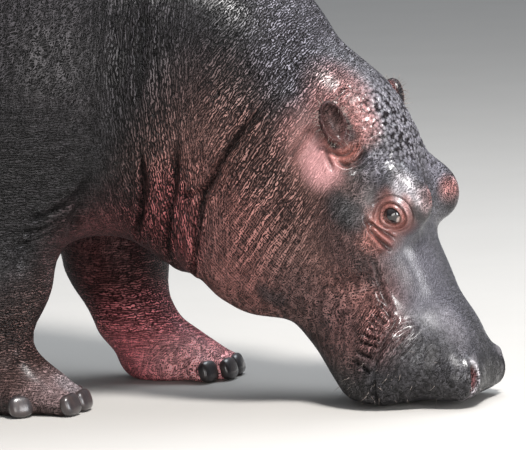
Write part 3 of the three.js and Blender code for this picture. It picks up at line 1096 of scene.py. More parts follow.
class HideTones(Enum):
    """The hide's colours, and some painted light and shade, as linear red, green and blue."""

    BASE = (0.0105, 0.009, 0.0095)
    # painted shade, low on the trunk and on the upper legs under it
    UNDERSIDE_SHADE = (0.006, 0.005, 0.005)
    # the hide's grey, with painted sky reflection where it lightens the forehead, the snout and the
    # nape
    SKYLIT_GREY = (0.075, 0.075, 0.085)
    # painted sheen: the sky's reflection on upper surfaces
    SHEEN = (0.088, 0.088, 0.104)
    BROWN = (0.120, 0.062, 0.051)
    RUST = (0.150, 0.058, 0.049)
    UMBER = (0.052, 0.024, 0.021)
    MAROON = (0.062, 0.023, 0.023)
    FLUSH = (0.170, 0.048, 0.048)
    ROSE = (0.260, 0.120, 0.110)
    PALE_AND_HIGHLIGHT_ROSE = (0.430, 0.225, 0.225)
    # the far forefoot's pink, brightened as painted light
    RED = (0.760, 0.230, 0.260)
    # the far forefoot's paler pink, brightened further as painted light
    LIT_PINK = (0.900, 0.440, 0.450)
    PINK = (0.200, 0.145, 0.145)
    ORANGE = (0.300, 0.100, 0.075)
    # near black: dark hide, and painted shade in the crease at the ear's base, in the furrow below
    # the eye and under the ears' rims
    BLACK_AND_SHADE = (0.010, 0.009, 0.010)
    # pale grey: painted highlights on raised spots, and the pale rims of the nostrils
    PALE_AND_HIGHLIGHT = (0.360, 0.350, 0.370)


ZONES: tuple[tuple[HideTones, tuple[Patch, ...]], ...] = (
    # painted shade low on the trunk and on the upper legs under it
    (HideTones.UNDERSIDE_SHADE, (
        Patch((60, 320, 520), (300, 200, 260), 0.75, Frame.BODY),
        Patch((-800, 300, 520), (760, 400, 280), 0.65, Frame.BODY),
    )),
    # the hide's grey, lightened as painted sky reflection on the forehead, the snout and the nape
    (HideTones.SKYLIT_GREY, (
        Patch((120, 0, 20), (330, 110, 70), 0.8),
        Patch((440, 60, -60), (230, 130, 90), 0.9),
        Patch((600, 120, -110), (120, 120, 110), 0.6),
        Patch((640, 0, 900), (260, 130, 260), 0.75, Frame.BODY),
    )),
    # painted sheen of the sky on the nape, the snout, the brow and beside the ear
    (HideTones.SHEEN, (
        Patch((650, 110, 850), (110, 120, 160), 0.85, Frame.BODY),
        Patch((450, 85, -75), (150, 70, 70), 0.85),
        Patch((560, 95, -70), (120, 100, 60), 0.95),
        Patch((255, 60, 30), (60, 40, 50), 0.8),
        Patch((180, 125, -36), (34, 40, 34), 0.7),
    )),
    (HideTones.BROWN, (
        Patch((230, 190, -300), (230, 130, 190), 0.9),
        Patch((400, 180, -250), (150, 120, 130), 0.75),
        Patch((440, 250, 500), (170, 200, 170), 0.75, Frame.BODY),
        Patch((498, 235, 630), (80, 90, 120), 0.6, Frame.BODY),
        Patch((470, 250, 600), (150, 200, 200), 0.4, Frame.BODY),
        Patch((60, 280, 150), (190, 140, 160), 0.5, Frame.BODY),
    )),
    (HideTones.RUST, (
        Patch((160, 210, -420), (190, 120, 110), 0.7),
        Patch((300, 190, -450), (120, 100, 80), 0.6),
        Patch((450, 150, -190), (90, 90, 90), 0.5),
    )),
    (HideTones.UMBER, (
        Patch((410, 170, -320), (110, 90, 75), 0.8),
        Patch((505, 170, -265), (85, 70, 60), 0.8),
        Patch((300, 186, -165), (80, 60, 40), 0.7),
        Patch((376, 165, -185), (70, 60, 46), 0.6),
        Patch((493, 165, -266), (70, 60, 60), 0.55),
        Patch((549, 156, -134), (34, 40, 36), 0.6),
    )),
    (HideTones.MAROON, (
        Patch((250, 120, 430), (190, 200, 120), 0.85, Frame.BODY),
        Patch((-20, 120, 400), (240, 150, 110), 0.7, Frame.BODY),
        Patch((30, 190, 330), (110, 90, 200), 0.7, Frame.BODY),
    )),
    (HideTones.FLUSH, (
        Patch((345, 200, 440), (70, 120, 130), 0.9, Frame.BODY),
        Patch((230, 200, 420), (120, 100, 60), 0.4, Frame.BODY),
        Patch((20, 190, 230), (110, 90, 150), 0.6, Frame.BODY, Side.LEFT),
    )),
    # the far foreleg and forefoot: pink, brightened as painted light
    (HideTones.RED, (
        Patch((60, 235, 140), (110, 100, 90), 0.8, Frame.BODY, Side.LEFT),
        Patch((160, 200, 60), (170, 120, 80), 1.0, Frame.BODY, Side.LEFT),
    )),
    # the far forefoot's toes: pale pink, brightened as painted light
    (HideTones.LIT_PINK, (
        Patch((255, 215, 35), (90, 100, 55), 0.8, Frame.BODY, Side.LEFT),
        Patch((225, 165, 55), (110, 70, 70), 0.85, Frame.BODY, Side.LEFT),
    )),
    (HideTones.PINK, (
        Patch((85, 270, 60), (90, 80, 50), 0.9, Frame.BODY, Side.RIGHT),
        Patch((300, 110, 26), (34, 60, 30), 0.7),
    )),
    (HideTones.ROSE, (
        Patch((60, 150, -150), (80, 60, 70), 0.6),
        Patch((0, 120, -60), (80, 80, 60), 0.7),
        Patch((80, 118, -34), (50, 44, 36), 0.5),
        Patch((560, 165, -170), (60, 60, 50), 0.6),
    )),
    (HideTones.PALE_AND_HIGHLIGHT_ROSE, (
        Patch((130, 167, -142), (54, 60, 42), 0.85),
    )),
    (HideTones.ORANGE, (
        Patch((326, 145, -84), (52, 50, 50), 0.6),
        Patch((300, 140, -32), (50, 60, 34), 0.6),
        Patch((104, 150, -84), (46, 40, 40), 0.7),
    )),
    # painted highlights on the orbit's top, the mound above the nostril, the near forefoot's top
    # and the snout's front
    (HideTones.PALE_AND_HIGHLIGHT, (
        Patch((262, 135, 8), (40, 44, 26), 0.75),
        Patch((684, 92, -22), (16, 22, 18), 0.6),
        Patch((88, 252, 65), (44, 40, 28), 0.4, Frame.BODY, Side.RIGHT),
        Patch((600, 88, -45), (60, 40, 24), 0.25),
    )),
    (HideTones.ROSE, (
        Patch((298, 72, 34), (28, 30, 24), 0.9),
        Patch((292, 138, 4), (24, 30, 12), 0.7),
    )),
    # near black: dark hide, with painted shade in the crease at the ear's base and in the furrow
    # below the eye
    (HideTones.BLACK_AND_SHADE, (
        Patch((318, 130, 12), (26, 40, 12), 0.85),
        Patch((655, 150, -130), (110, 120, 110), 0.95),
        Patch((720, 60, -130), (80, 170, 120), 0.9),
        Patch((90, 140, -58), (24, 26, 16), 0.9),
        Patch((235, 184, -140), (46, 50, 28), 0.85),
        Patch((268, 176, -118), (46, 44, 28), 0.9),
        Patch((396, 136, -152), (50, 40, 24), 0.5),
        Patch((345, 190, -390), (26, 60, 16), 0.7),
        Patch((372, 190, -370), (20, 60, 20), 0.6),
        Patch((332, 70, 30), (26, 36, 20), 0.7),
    )),
)

# The ways that wrinkles can run, written together as the vector "grain".
GRAINS = ("upright", "slanted", "level")
# Where each finish lies. The patches of "wrinkles" take wrinkles away, and the others add.
MASKS: dict[str, tuple[Patch, ...]] = {
    "wrinkles": (
        Patch((128, 167, -146), (80, 70, 65), 0.6),
        Patch((80, 150, -120), (100, 70, 90), 0.5),
        Patch((300, 140, -40), (80, 60, 80), 0.7),
        Patch((60, 235, 60), (190, 140, 70), 0.3, Frame.BODY),
        Patch((684, 92, -22), (16, 22, 18), 0.7),
        Patch((450, 60, -60), (210, 130, 95), 0.45),
        Patch((650, 110, -130), (110, 120, 110), 0.15),
    ),
    "smooth": (
        Patch((430, 60, -50), (200, 130, 90), 0.8),
        Patch((300, 130, -190), (90, 90, 60), 0.6),
    ),
    "crossed": (
        Patch((300, 200, -400), (160, 120, 160), 0.9),
        Patch((430, 180, -300), (160, 120, 130), 0.7),
    ),
    "pebbles": (
        Patch((110, 40, 10), (130, 100, 60), 1.0),
        Patch((660, 100, -130), (130, 140, 110), 0.5),
    ),
    "upright": (
        Patch((320, 260, 820), (110, 200, 420), 1.0, Frame.BODY),
        Patch((330, 200, 480), (150, 200, 200), 1.0, Frame.BODY),
        Patch((-900, 400, 700), (300, 300, 400), 0.6, Frame.BODY),
    ),
    "slanted": (
        Patch((560, 180, 820), (210, 260, 260), 1.0, Frame.BODY),
        Patch((560, 180, 520), (190, 200, 220), 1.0, Frame.BODY),
        Patch((540, 165, -180), (90, 70, 60), 1.0),
    ),
    "level": (
        Patch((560, 0, -40), (90, 90, 40), 1.0),
        Patch((0, 250, 230), (330, 140, 190), 1.0, Frame.BODY),
        Patch((20, 330, 560), (190, 200, 220), 0.8, Frame.BODY),
        Patch((-1350, 240, 230), (250, 140, 190), 1.0, Frame.BODY),
        Patch((-1730, 0, 760), (120, 90, 190), 1.0, Frame.BODY),
    ),
    "bristles": (
        Patch((640, 150, -190), (110, 60, 110), 0.05),
        Patch((640, 0, -300), (110, 160, 60), 0.05),
        Patch((-1733, 0, 690), (60, 60, 90), 1.0, Frame.BODY),
    ),
    "wet": (
        Patch((440, 60, -60), (330, 160, 110), 0.85),
        Patch((680, 0, 850), (150, 200, 170), 0.45, Frame.BODY),
        Patch((110, 40, 10), (160, 110, 60), 1.0),
        Patch((660, 100, -130), (150, 160, 150), 0.2),
    ),
}


# ------------------------------------------------------------------ shader groups and finishes
class Graph:
    """A node tree being built, with short ways to add and join nodes."""

    def __init__(self, tree: bpy.types.NodeTree) -> None:
        """Takes the tree that nodes are added to."""
        self.tree = tree

    def add(self, kind: str, inputs: dict | None = None, **settings: object) -> bpy.types.Node:
        """Adds a node.

        Args:
            kind: its type.
            inputs: values or output sockets for its inputs, by name or number.
            settings: its other properties.

        Returns:
            The node.
        """
        node = self.tree.nodes.new(kind)
        for name, value in settings.items():
            setattr(node, name, value)
        for name, value in (inputs or {}).items():
            if isinstance(value, bpy.types.NodeSocket):
                self.tree.links.new(value, node.inputs[name])
            else:
                node.inputs[name].default_value = value
        return node

    def math(self, operation: str, *values: object) -> bpy.types.NodeSocket:
        """A sum worked out by a Math node."""
        clamp = operation == "CLAMP"
        node = self.add("ShaderNodeMath", dict(enumerate(values)),
                        operation="ADD" if clamp else operation, use_clamp=clamp)
        return node.outputs[0]

    def line(self, value: object, times: float, plus: float) -> bpy.types.NodeSocket:
        """A value multiplied and then added to."""
        return self.math("ADD", self.math("MULTIPLY", value, times), plus)

    def ramp(self, value: object, stops: Sequence[Span]) -> bpy.types.NodeSocket:
        """A value carried along straight lines from stop to stop."""
        node = self.add("ShaderNodeValToRGB", {"Fac": value})
        stops = sorted(stops)
        for i, (at, level) in enumerate(stops):
            stop = node.color_ramp.elements[i] if i < 2 else node.color_ramp.elements.new(at)
            stop.position, stop.color = at, (level, level, level, 1)
        return node.outputs[0]

    def mix(self, share: object, a: object, b: object, way: str = "MIX") -> bpy.types.NodeSocket:
        """Two colours mixed."""
        node = self.add("ShaderNodeMix", {0: share}, data_type="RGBA", blend_type=way)
        for place, value in ((6, a), (7, b)):
            if isinstance(value, bpy.types.NodeSocket):
                self.tree.links.new(value, node.inputs[place])
            else:
                node.inputs[place].default_value = (*value, 1)
        return node.outputs[2]

    def attribute(self, name: str, part: str = "Fac") -> bpy.types.NodeSocket:
        """One of the piece's own attributes."""
        return self.add("ShaderNodeAttribute", attribute_name=name).outputs[part]

    def place(self, scale: Point = (1, 1, 1), turn: Point = (0, 0, 0)) -> bpy.types.NodeSocket:
        """Object coordinates, turned and then stretched."""
        source = self.add("ShaderNodeTexCoord").outputs["Object"]
        turned = self.add("ShaderNodeMapping", {"Vector": source, "Rotation": turn}).outputs[0]
        return self.add("ShaderNodeMapping", {"Vector": turned, "Scale": scale}).outputs[0]


def new_group(name: str, inputs: dict[str, float | None], outputs: dict[str, str]) -> tuple[
        bpy.types.NodeTree, Graph, bpy.types.Node, bpy.types.Node]:
    """Starts a shader node group.

    Args:
        name: its name.
        inputs: its inputs and their defaults, with None for a vector.
        outputs: its outputs and their socket kinds.

    Returns:
        The group, its graph, its input node and its output node.
    """
    tree = bpy.data.node_groups.new(name, "ShaderNodeTree")
    for label, default in inputs.items():
        kind = "NodeSocketVector" if default is None else "NodeSocketFloat"
        socket = tree.interface.new_socket(label, in_out="INPUT", socket_type=kind)
        if default is not None:
            socket.default_value = default
    for label, kind in outputs.items():
        tree.interface.new_socket(label, in_out="OUTPUT", socket_type=kind)
    return tree, Graph(tree), tree.nodes.new("NodeGroupInput"), tree.nodes.new("NodeGroupOutput")


def wrinkled_group() -> bpy.types.NodeTree:
    """Winding ridges with valleys between them, which the hide darkens as painted shade.

    Height rises smoothly from valley to ridge, Ridge is the narrow top of each, and Line is a
    thin winding line that runs the way the coordinates are stretched.
    """
    warp_scale, warp_reach = 24.0, 0.04
    waves_to_lines, noise_to_lines = 0.314, 1.5
    line_share, middle = 0.34, 0.67
    tree, graph, given, made = new_group(
        "wrinkled_skin", {"Vector": None, "Scale": 200.0, "Warp": 0.3, "Contrast": 3.6},
        {"Height": "NodeSocketFloat", "Ridge": "NodeSocketFloat", "Line": "NodeSocketFloat"})
    place, scale = given.outputs["Vector"], given.outputs["Scale"]
    warp = graph.add("ShaderNodeTexNoise", {"Vector": place, "Scale": warp_scale, "Detail": 2.0})
    bent = graph.add("ShaderNodeVectorMath", {0: warp.outputs["Color"], 1: (0.5, 0.5, 0.5)},
                     operation="SUBTRACT")
    scaled = graph.add("ShaderNodeVectorMath", {0: bent.outputs[0]}, operation="SCALE")
    reach = graph.math("MULTIPLY", given.outputs["Warp"], warp_reach)
    tree.links.new(reach, scaled.inputs["Scale"])
    moved = graph.add("ShaderNodeVectorMath", {0: place, 1: scaled.outputs[0]})
    lines = graph.add("ShaderNodeTexWave", {
        "Vector": moved.outputs[0], "Scale": graph.math("MULTIPLY", scale, waves_to_lines),
        "Distortion": 7.0, "Detail": 1.0, "Detail Scale": 1.5})
    noise = graph.add("ShaderNodeTexNoise", {
        "Vector": moved.outputs[0], "Scale": graph.math("MULTIPLY", scale, noise_to_lines),
        "Detail": 1.0, "Roughness": 0.4})
    both = graph.math(
        "ADD", graph.math("MULTIPLY", lines.outputs["Fac"], line_share), noise.outputs["Fac"])
    spread = graph.math("MULTIPLY", graph.math("SUBTRACT", both, middle), given.outputs["Contrast"])
    narrow = graph.math("ABSOLUTE", spread)
    for label, value, times, plus in (
            ("Height", spread, 1.3, 0.45), ("Ridge", spread, 3.8, -0.5),
            ("Line", narrow, -5.0, 1.0)):
        level = graph.math("CLAMP", graph.math("MULTIPLY", value, times), plus)
        tree.links.new(level, made.inputs[label])
    return tree


def pebbled_group() -> bpy.types.NodeTree:
    """Crowded round bumps, as one height."""
    roundness, steepness = 2.0, -1.9
    tree, graph, given, made = new_group(
        "pebbled_skin", {"Vector": None, "Scale": 100.0}, {"Height": "NodeSocketFloat"})
    bumps = graph.add("ShaderNodeTexVoronoi", {
        "Vector": given.outputs["Vector"], "Scale": given.outputs["Scale"]}, feature="F1")
    away = graph.math("POWER", bumps.outputs["Distance"], roundness)
    level = graph.math("CLAMP", graph.math("MULTIPLY", away, steepness), 1.0)
    tree.links.new(level, made.inputs["Height"])
    return tree


def mottle_group() -> bpy.types.NodeTree:
    """Soft blotches in two sizes, as one value from 0 to 1."""
    large_share, fine_share, finer = 0.65, 0.35, 7.0
    tree, graph, given, made = new_group(
        "mottle", {"Vector": None, "Scale": 8.0, "Contrast": 1.0}, {"Value": "NodeSocketFloat"})
    large = graph.add("ShaderNodeTexNoise", {
        "Vector": given.outputs["Vector"], "Scale": given.outputs["Scale"], "Detail": 4.0,
        "Roughness": 0.6})
    fine = graph.add("ShaderNodeTexNoise", {
        "Vector": given.outputs["Vector"],
        "Scale": graph.math("MULTIPLY", given.outputs["Scale"], finer), "Detail": 3.0})
    both = graph.math("ADD", graph.math("MULTIPLY", large.outputs["Fac"], large_share),
                      graph.math("MULTIPLY", fine.outputs["Fac"], fine_share))
    spread = graph.math("MULTIPLY", graph.math("SUBTRACT", both, 0.5), given.outputs["Contrast"])
    tree.links.new(graph.math("CLAMP", spread, 0.5), made.inputs["Value"])
    return tree


@dataclass(frozen=True)
class Finish:
    """What every finish has: a name and how its shader shines."""

    name: str
    coat_roughness: float = 0.2
    coat_ior: float = 1.5
    specular: float = 0.5

    def start(self) -> tuple[bpy.types.Material, Graph, bpy.types.Node]:
        """A new material with its graph and its shader."""
        material = bpy.data.materials.new(self.name)
        material.use_nodes = True
        shader = material.node_tree.nodes["Principled BSDF"]
        shader.inputs["Coat Roughness"].default_value = self.coat_roughness
        shader.inputs["Coat IOR"].default_value = self.coat_ior
        shader.inputs["Specular IOR Level"].default_value = self.specular
        return material, Graph(material.node_tree), shader


@dataclass(frozen=True)
class SkinGroups:
    """The shader groups that the hide's finish is made from."""

    wrinkled: bpy.types.NodeTree
    pebbled: bpy.types.NodeTree
    mottle: bpy.types.NodeTree


@dataclass(frozen=True)
class HideFinish(Finish):
    """Damp wrinkled hide with its zones of colour, painted shade in its wrinkles and creases, and
    painted highlights on their ridges.

    Wrinkles run the way that the attribute grain says: upright, slanting up to the head, or
    level. Elsewhere two runs of them cross in a net. Scales are about how many lines or
    blotches there are in a metre, and depth is in metres.
    """

    net: float = 185.0
    net_turns: Span = (0.35, 1.3)
    net_stretch: float = 2.0
    net_warp: float = 1.1
    stroke: float = 170.0
    stroke_stretch: float = 2.1
    stroke_warp: float = 0.35
    cross_stretch: float = 1.6
    cross_warp: float = 0.25
    crease: float = 40.0
    crease_stretch: float = 4.5
    crease_warp: float = 0.9
    crease_depth: float = 0.9
    crease_shade: float = 0.85
    streak_share: Span = (0.7, 0.4)
    fine: float = 250.0
    fine_warp: float = 0.2
    fine_height: float = 0.22
    smooth_ridge: float = 0.5
    smooth_height: float = 0.4
    pebble: float = 100.0
    swell: float = 30.0
    swell_height: float = 0.9
    depth: float = 0.0056
    slant: float = math.radians(36)
    cross_slant: float = math.radians(-42)
    blotch: float = 9.0
    blotch_contrast: float = 1.6
    blotch_dark: Colour = (0.66, 0.66, 0.66)
    blotch_pale: Colour = (1.38, 1.34, 1.34)
    # painted shade in the wrinkles' valleys, painted highlight on their ridges and a painted grey
    # glint on the ridge tops
    valley_shade: Colour = (0.11, 0.088, 0.092)
    ridge_highlight: Colour = (2.1, 2.03, 2.03)
    ridge_grey: Colour = (0.0125, 0.013, 0.0155)
    dry: float = 0.58
    damp: float = 0.26
    wet_share: Span = (0.74, 0.26)
    wet_blotch: tuple[Span, Span] = ((0.3, 0.55), (0.65, 1.0))

    def wrinkles(self, graph: Graph, groups: SkinGroups) -> tuple[bpy.types.NodeSocket, ...]:
        """Adds the wrinkles.

        Args:
            graph: the material's graph.
            groups: the shared groups.

        Returns:
            The hide's height, its ridges and its long creases.
        """
        plain = graph.place()

        def skin(place: bpy.types.NodeSocket, scale: float, warp: float) -> bpy.types.Node:
            """The shared wrinkles at one place and scale."""
            return graph.add("ShaderNodeGroup", {
                "Vector": place, "Scale": scale, "Warp": warp}, node_tree=groups.wrinkled)

        def run(stretch: float, turn: float) -> bpy.types.NodeSocket:
            """Coordinates stretched along a line that leans forwards from upright by that turn."""
            return graph.place((1.0, 1.0, 1 / stretch), (0, -turn, 0))

        net = [skin(run(self.net_stretch, turn), self.net, self.net_warp)
               for turn in self.net_turns]
        height = graph.math("MAXIMUM", *(side.outputs["Height"] for side in net))
        ridge = graph.math("MAXIMUM", *(side.outputs["Ridge"] for side in net))
        crease: bpy.types.NodeSocket | Colour = (0.0, 0.0, 0.0)
        streak = skin(plain, self.crease, self.crease_warp).outputs["Height"]
        grain = graph.add("ShaderNodeSeparateXYZ", {0: graph.attribute("grain", "Vector")})
        for axis, turn in (("Z", math.pi / 2), ("Y", self.slant), ("X", 0.0)):
            share = grain.outputs[axis]
            short = skin(run(self.stroke_stretch, turn), self.stroke, self.stroke_warp)
            long = skin(run(self.crease_stretch, turn), self.crease, self.crease_warp)
            height = graph.mix(share, height, short.outputs["Height"])
            ridge = graph.mix(share, ridge, short.outputs["Ridge"])
            crease = graph.mix(share, crease, long.outputs["Line"])
            streak = graph.mix(share, streak, long.outputs["Height"])
        way = run(self.stroke_stretch * self.cross_stretch, self.cross_slant)
        across = skin(way, self.stroke, self.cross_warp)
        over = graph.math("MULTIPLY", across.outputs["Ridge"], graph.attribute("crossed"))
        height = graph.math("MAXIMUM", height, over)
        ridge = graph.math("MULTIPLY", graph.math("MAXIMUM", ridge, over),
                           graph.line(streak, *self.streak_share))
        fine = skin(plain, self.fine, self.fine_warp).outputs["Height"]
        smooth, pebbles = graph.attribute("smooth"), graph.attribute("pebbles")
        ridge = graph.mix(smooth, ridge, graph.math("MULTIPLY", fine, self.smooth_ridge))
        height = graph.mix(smooth, height, graph.math("MULTIPLY", fine, self.smooth_height))
        stones = graph.add("ShaderNodeGroup", {"Vector": plain, "Scale": self.pebble},
                           node_tree=groups.pebbled).outputs["Height"]
        height = graph.math("ADD", height, graph.math("MULTIPLY", fine, self.fine_height))
        height = graph.math("SUBTRACT", height, graph.math("MULTIPLY", crease, self.crease_depth))
        return graph.mix(pebbles, height, stones), graph.mix(pebbles, ridge, stones), crease

    def material(self, groups: SkinGroups) -> bpy.types.Material:
        """Builds the material from the shared groups."""
        material, graph, shader = self.start()
        link = material.node_tree.links.new
        plain = graph.place()
        wrinkles, wet = graph.attribute("wrinkles"), graph.attribute("wet")
        height, ridge, crease = self.wrinkles(graph, groups)
        swell = graph.add("ShaderNodeTexNoise", {
            "Vector": plain, "Scale": self.swell, "Detail": 3.0})
        height = graph.math("ADD", graph.math("MULTIPLY", height, wrinkles),
                            graph.math("MULTIPLY", swell.outputs["Fac"], self.swell_height))
        bump = graph.add("ShaderNodeBump", {
            "Strength": 1.0, "Distance": self.depth, "Height": height})
        link(bump.outputs["Normal"], shader.inputs["Normal"])

        blotch = graph.add("ShaderNodeGroup", {
            "Vector": plain, "Scale": self.blotch, "Contrast": self.blotch_contrast},
            node_tree=groups.mottle).outputs["Value"]
        light = graph.mix(blotch, self.blotch_dark, self.blotch_pale)
        tone = graph.mix(1.0, graph.attribute("tone", "Color"), light, "MULTIPLY")
        # painted shade in the valleys and painted highlight on the ridges, then a painted grey
        # glint on the ridge tops
        wrinkle_shading = graph.mix(1.0, tone, graph.mix(ridge, self.valley_shade, self.ridge_highlight), "MULTIPLY")
        wrinkle_shading = graph.mix(ridge, wrinkle_shading, graph.mix(1.0, wrinkle_shading, self.ridge_grey, "ADD"))
        tone = graph.mix(wrinkles, tone, wrinkle_shading)
        # painted shade along the long creases
        sunk = graph.math("MULTIPLY", graph.math("MULTIPLY", crease, self.crease_shade), wrinkles)
        tone = graph.mix(sunk, tone, graph.mix(1.0, tone, self.valley_shade, "MULTIPLY"))
        link(tone, shader.inputs["Base Color"])

        damp = graph.math("MULTIPLY", graph.line(wet, *self.wet_share),
                          graph.ramp(blotch, self.wet_blotch))
        rough = graph.math("SUBTRACT", self.dry, graph.math("MULTIPLY", damp, self.dry - self.damp))
        link(rough, shader.inputs["Roughness"])
        raised = graph.math("MULTIPLY", graph.math("SUBTRACT", ridge, 1.0), wrinkles)
        coat = graph.math("MULTIPLY", damp, graph.math("ADD", raised, 1.0))
        link(coat, shader.inputs["Coat Weight"])
        return material


@dataclass(frozen=True)
class EyeFinish(Finish):
    """A dark wet eye with a brown iris and white in its front corner."""

    pupil: Colour = (0.003, 0.003, 0.004)
    iris: Colour = (0.012, 0.007, 0.006)
    white: Colour = (0.42, 0.33, 0.30)
    pupil_edge: tuple[Span, Span] = ((0.9, 0.0), (1.0, 1.0))
    iris_edge: tuple[Span, Span] = ((0.74, 0.0), (0.84, 1.0))
    streak: float = 130.0
    streak_contrast: float = 1.5
    roughness: float = 0.04

    def material(self, mottle: bpy.types.NodeTree) -> bpy.types.Material:
        """Builds the material from the ring and pupil attributes of the eyeball."""
        material, graph, shader = self.start()
        streaks = graph.add("ShaderNodeGroup", {
            "Vector": graph.place(), "Scale": self.streak, "Contrast": self.streak_contrast},
            node_tree=mottle)
        iris = graph.mix(streaks.outputs["Value"], self.pupil, self.iris)
        outside = graph.ramp(graph.attribute("pupil"), self.pupil_edge)
        colour = graph.mix(outside, self.pupil, iris)
        rim = graph.ramp(graph.attribute("ring"), self.iris_edge)
        rim = graph.math("MAXIMUM", rim, graph.attribute("corner"))
        colour = graph.mix(rim, colour, self.white)
        material.node_tree.links.new(colour, shader.inputs["Base Color"])
        shader.inputs["Roughness"].default_value = self.roughness
        shader.inputs["Coat Weight"].default_value = 1.0
        return material


@dataclass(frozen=True)
class NailFinish(Finish):
    """Blunt horn, dark blue-grey or brown, with faint ridges down it."""

    dark: Colour = (0.009, 0.010, 0.014)
    light: Colour = (0.060, 0.042, 0.038)
    blotch: float = 45.0
    blotch_contrast: float = 2.4
    blotch_squash: float = 0.35
    ridge: float = 260.0
    ridge_squash: float = 0.12
    ridge_strength: float = 0.6
    ridge_depth: float = 0.0008
    roughness: float = 0.24
    rougher: float = 0.2
    coat: float = 0.6

    def material(self, mottle: bpy.types.NodeTree) -> bpy.types.Material:
        """Builds the material, with its ridges running up and down."""
        material, graph, shader = self.start()
        link = material.node_tree.links.new
        blotch = graph.add("ShaderNodeGroup", {
            "Vector": graph.place((1, 1, self.blotch_squash)), "Scale": self.blotch,
            "Contrast": self.blotch_contrast}, node_tree=mottle)
        link(graph.mix(blotch.outputs["Value"], self.dark, self.light), shader.inputs["Base Color"])
        ridges = graph.add("ShaderNodeTexNoise", {
            "Vector": graph.place((1, 1, self.ridge_squash)), "Scale": self.ridge, "Detail": 2.0})
        bump = graph.add("ShaderNodeBump", {
            "Strength": self.ridge_strength, "Distance": self.ridge_depth,
            "Height": ridges.outputs["Fac"]})
        link(bump.outputs["Normal"], shader.inputs["Normal"])
        rough = graph.line(ridges.outputs["Fac"], self.rougher, self.roughness)
        link(rough, shader.inputs["Roughness"])
        shader.inputs["Coat Weight"].default_value = self.coat
        return material


@dataclass(frozen=True)
class BristleFinish(Finish):
    """Stiff dark hair with paler lengths."""

    dark: Colour = (0.030, 0.024, 0.022)
    pale: Colour = (0.300, 0.250, 0.220)
    blotch: float = 60.0
    blotch_contrast: float = 3.0
    roughness: float = 0.45

    def material(self, mottle: bpy.types.NodeTree) -> bpy.types.Material:
        """Builds the material, with patches of paler hair."""
        material, graph, shader = self.start()
        blotch = graph.add("ShaderNodeGroup", {
            "Vector": graph.place(), "Scale": self.blotch, "Contrast": self.blotch_contrast},
            node_tree=mottle)
        tone = graph.mix(blotch.outputs["Value"], self.dark, self.pale)
        material.node_tree.links.new(tone, shader.inputs["Base Color"])
        shader.inputs["Roughness"].default_value = self.roughness
        return material


@dataclass(frozen=True)
class FloorFinish(Finish):
    """A plain pale studio floor."""

    tint: Colour = (0.40, 0.385, 0.365)
    darkest: float = 0.93
    speck: float = 3.0
    roughness: float = 0.85

    def material(self) -> bpy.types.Material:
        """Builds the material."""
        material, graph, shader = self.start()
        speck = graph.add("ShaderNodeTexNoise", {
            "Vector": graph.place(), "Scale": self.speck, "Detail": 4.0})
        dark = tuple(self.darkest * level for level in self.tint)
        shade = graph.mix(speck.outputs["Fac"], dark, self.tint)
        material.node_tree.links.new(shade, shader.inputs["Base Color"])
        shader.inputs["Roughness"].default_value = self.roughness
        return material


# ------------------------------------------------------------------ eyes, nails and bristles
def ball_mesh(name: str, around: int, down: int) -> bpy.types.Mesh:
    """A round ball of radius 1 with its poles on z."""
    bm = bmesh.new()
    bmesh.ops.create_uvsphere(bm, u_segments=around, v_segments=down, radius=1)
    me = bpy.data.meshes.new(name)
    bm.to_mesh(me)
    bm.free()
    me.polygons.foreach_set("use_smooth", np.ones(len(me.polygons), bool))
    return me


def shown(name: str, me: bpy.types.Mesh, material: bpy.types.Material) -> bpy.types.Object:
    """An object for a finished mesh, wearing one material."""
    me.materials.clear()
    me.materials.append(material)
    piece = bpy.data.objects.new(name, me)
    bpy.context.scene.collection.objects.link(piece)
    return piece


@dataclass
class Eyeball:
    """An eyeball with a bulging cornea, looking out of the head and a little back.

    The cornea's rise is in millimetres. Its edges are angles from the gaze, in radians.
    """

    radius: float
    cornea: float = 1.6
    cornea_edges: Span = (0.62, 0.1)
    look_back: float = 0.16
    pupil: Span = (0.34, 0.17)
    corner: Point = (0.45, 0.68, 0.58)
    corner_edge: Span = (0.86, 0.95)
    around: int = 48
    down: int = 32

    def mesh(
            self, name: str, frame: tuple[np.ndarray, np.ndarray], place: np.ndarray
    ) -> bpy.types.Mesh:
        """Makes the eyeball in its place.

        Args:
            name: the mesh's name.
            frame: the eye's middle and its directions out, forwards and up.
            place: the animal's origin in the row frame, in millimetres.

        Returns:
            The mesh, with the attributes ring, pupil and corner.
        """
        middle, (out, forwards, up) = frame
        gaze = unit(out - forwards * self.look_back)
        level = unit(forwards - gaze * (forwards @ gaze))
        axes = np.array([level, np.cross(gaze, level), gaze])
        me = ball_mesh(name, self.around, self.down)
        p = points_of(me)
        tilt = np.arccos(np.clip(p[:, 2], -1, 1))
        bulge = self.cornea * soft(tilt, *self.cornea_edges)
        wide, tall = self.pupil
        rows = (p * (self.radius + bulge)[:, None]) @ axes + middle
        corner = unit(out * self.corner[0] + forwards * self.corner[1] + up * self.corner[2])
        me.vertices.foreach_set("co", ((rows + place) / MM).ravel())
        for label, values in (
                ("ring", tilt / (math.pi / 2)),
                ("pupil", np.hypot(p[:, 0] / wide, p[:, 1] / tall)),
                ("corner", soft((p @ axes) @ corner, *self.corner_edge))):
            write_layer(me, label, values)
        me.update()
        bm = bmesh.new()
        bm.from_mesh(me)
        bmesh.ops.recalc_face_normals(bm, faces=bm.faces)
        bm.to_mesh(me)
        bm.free()
        return me


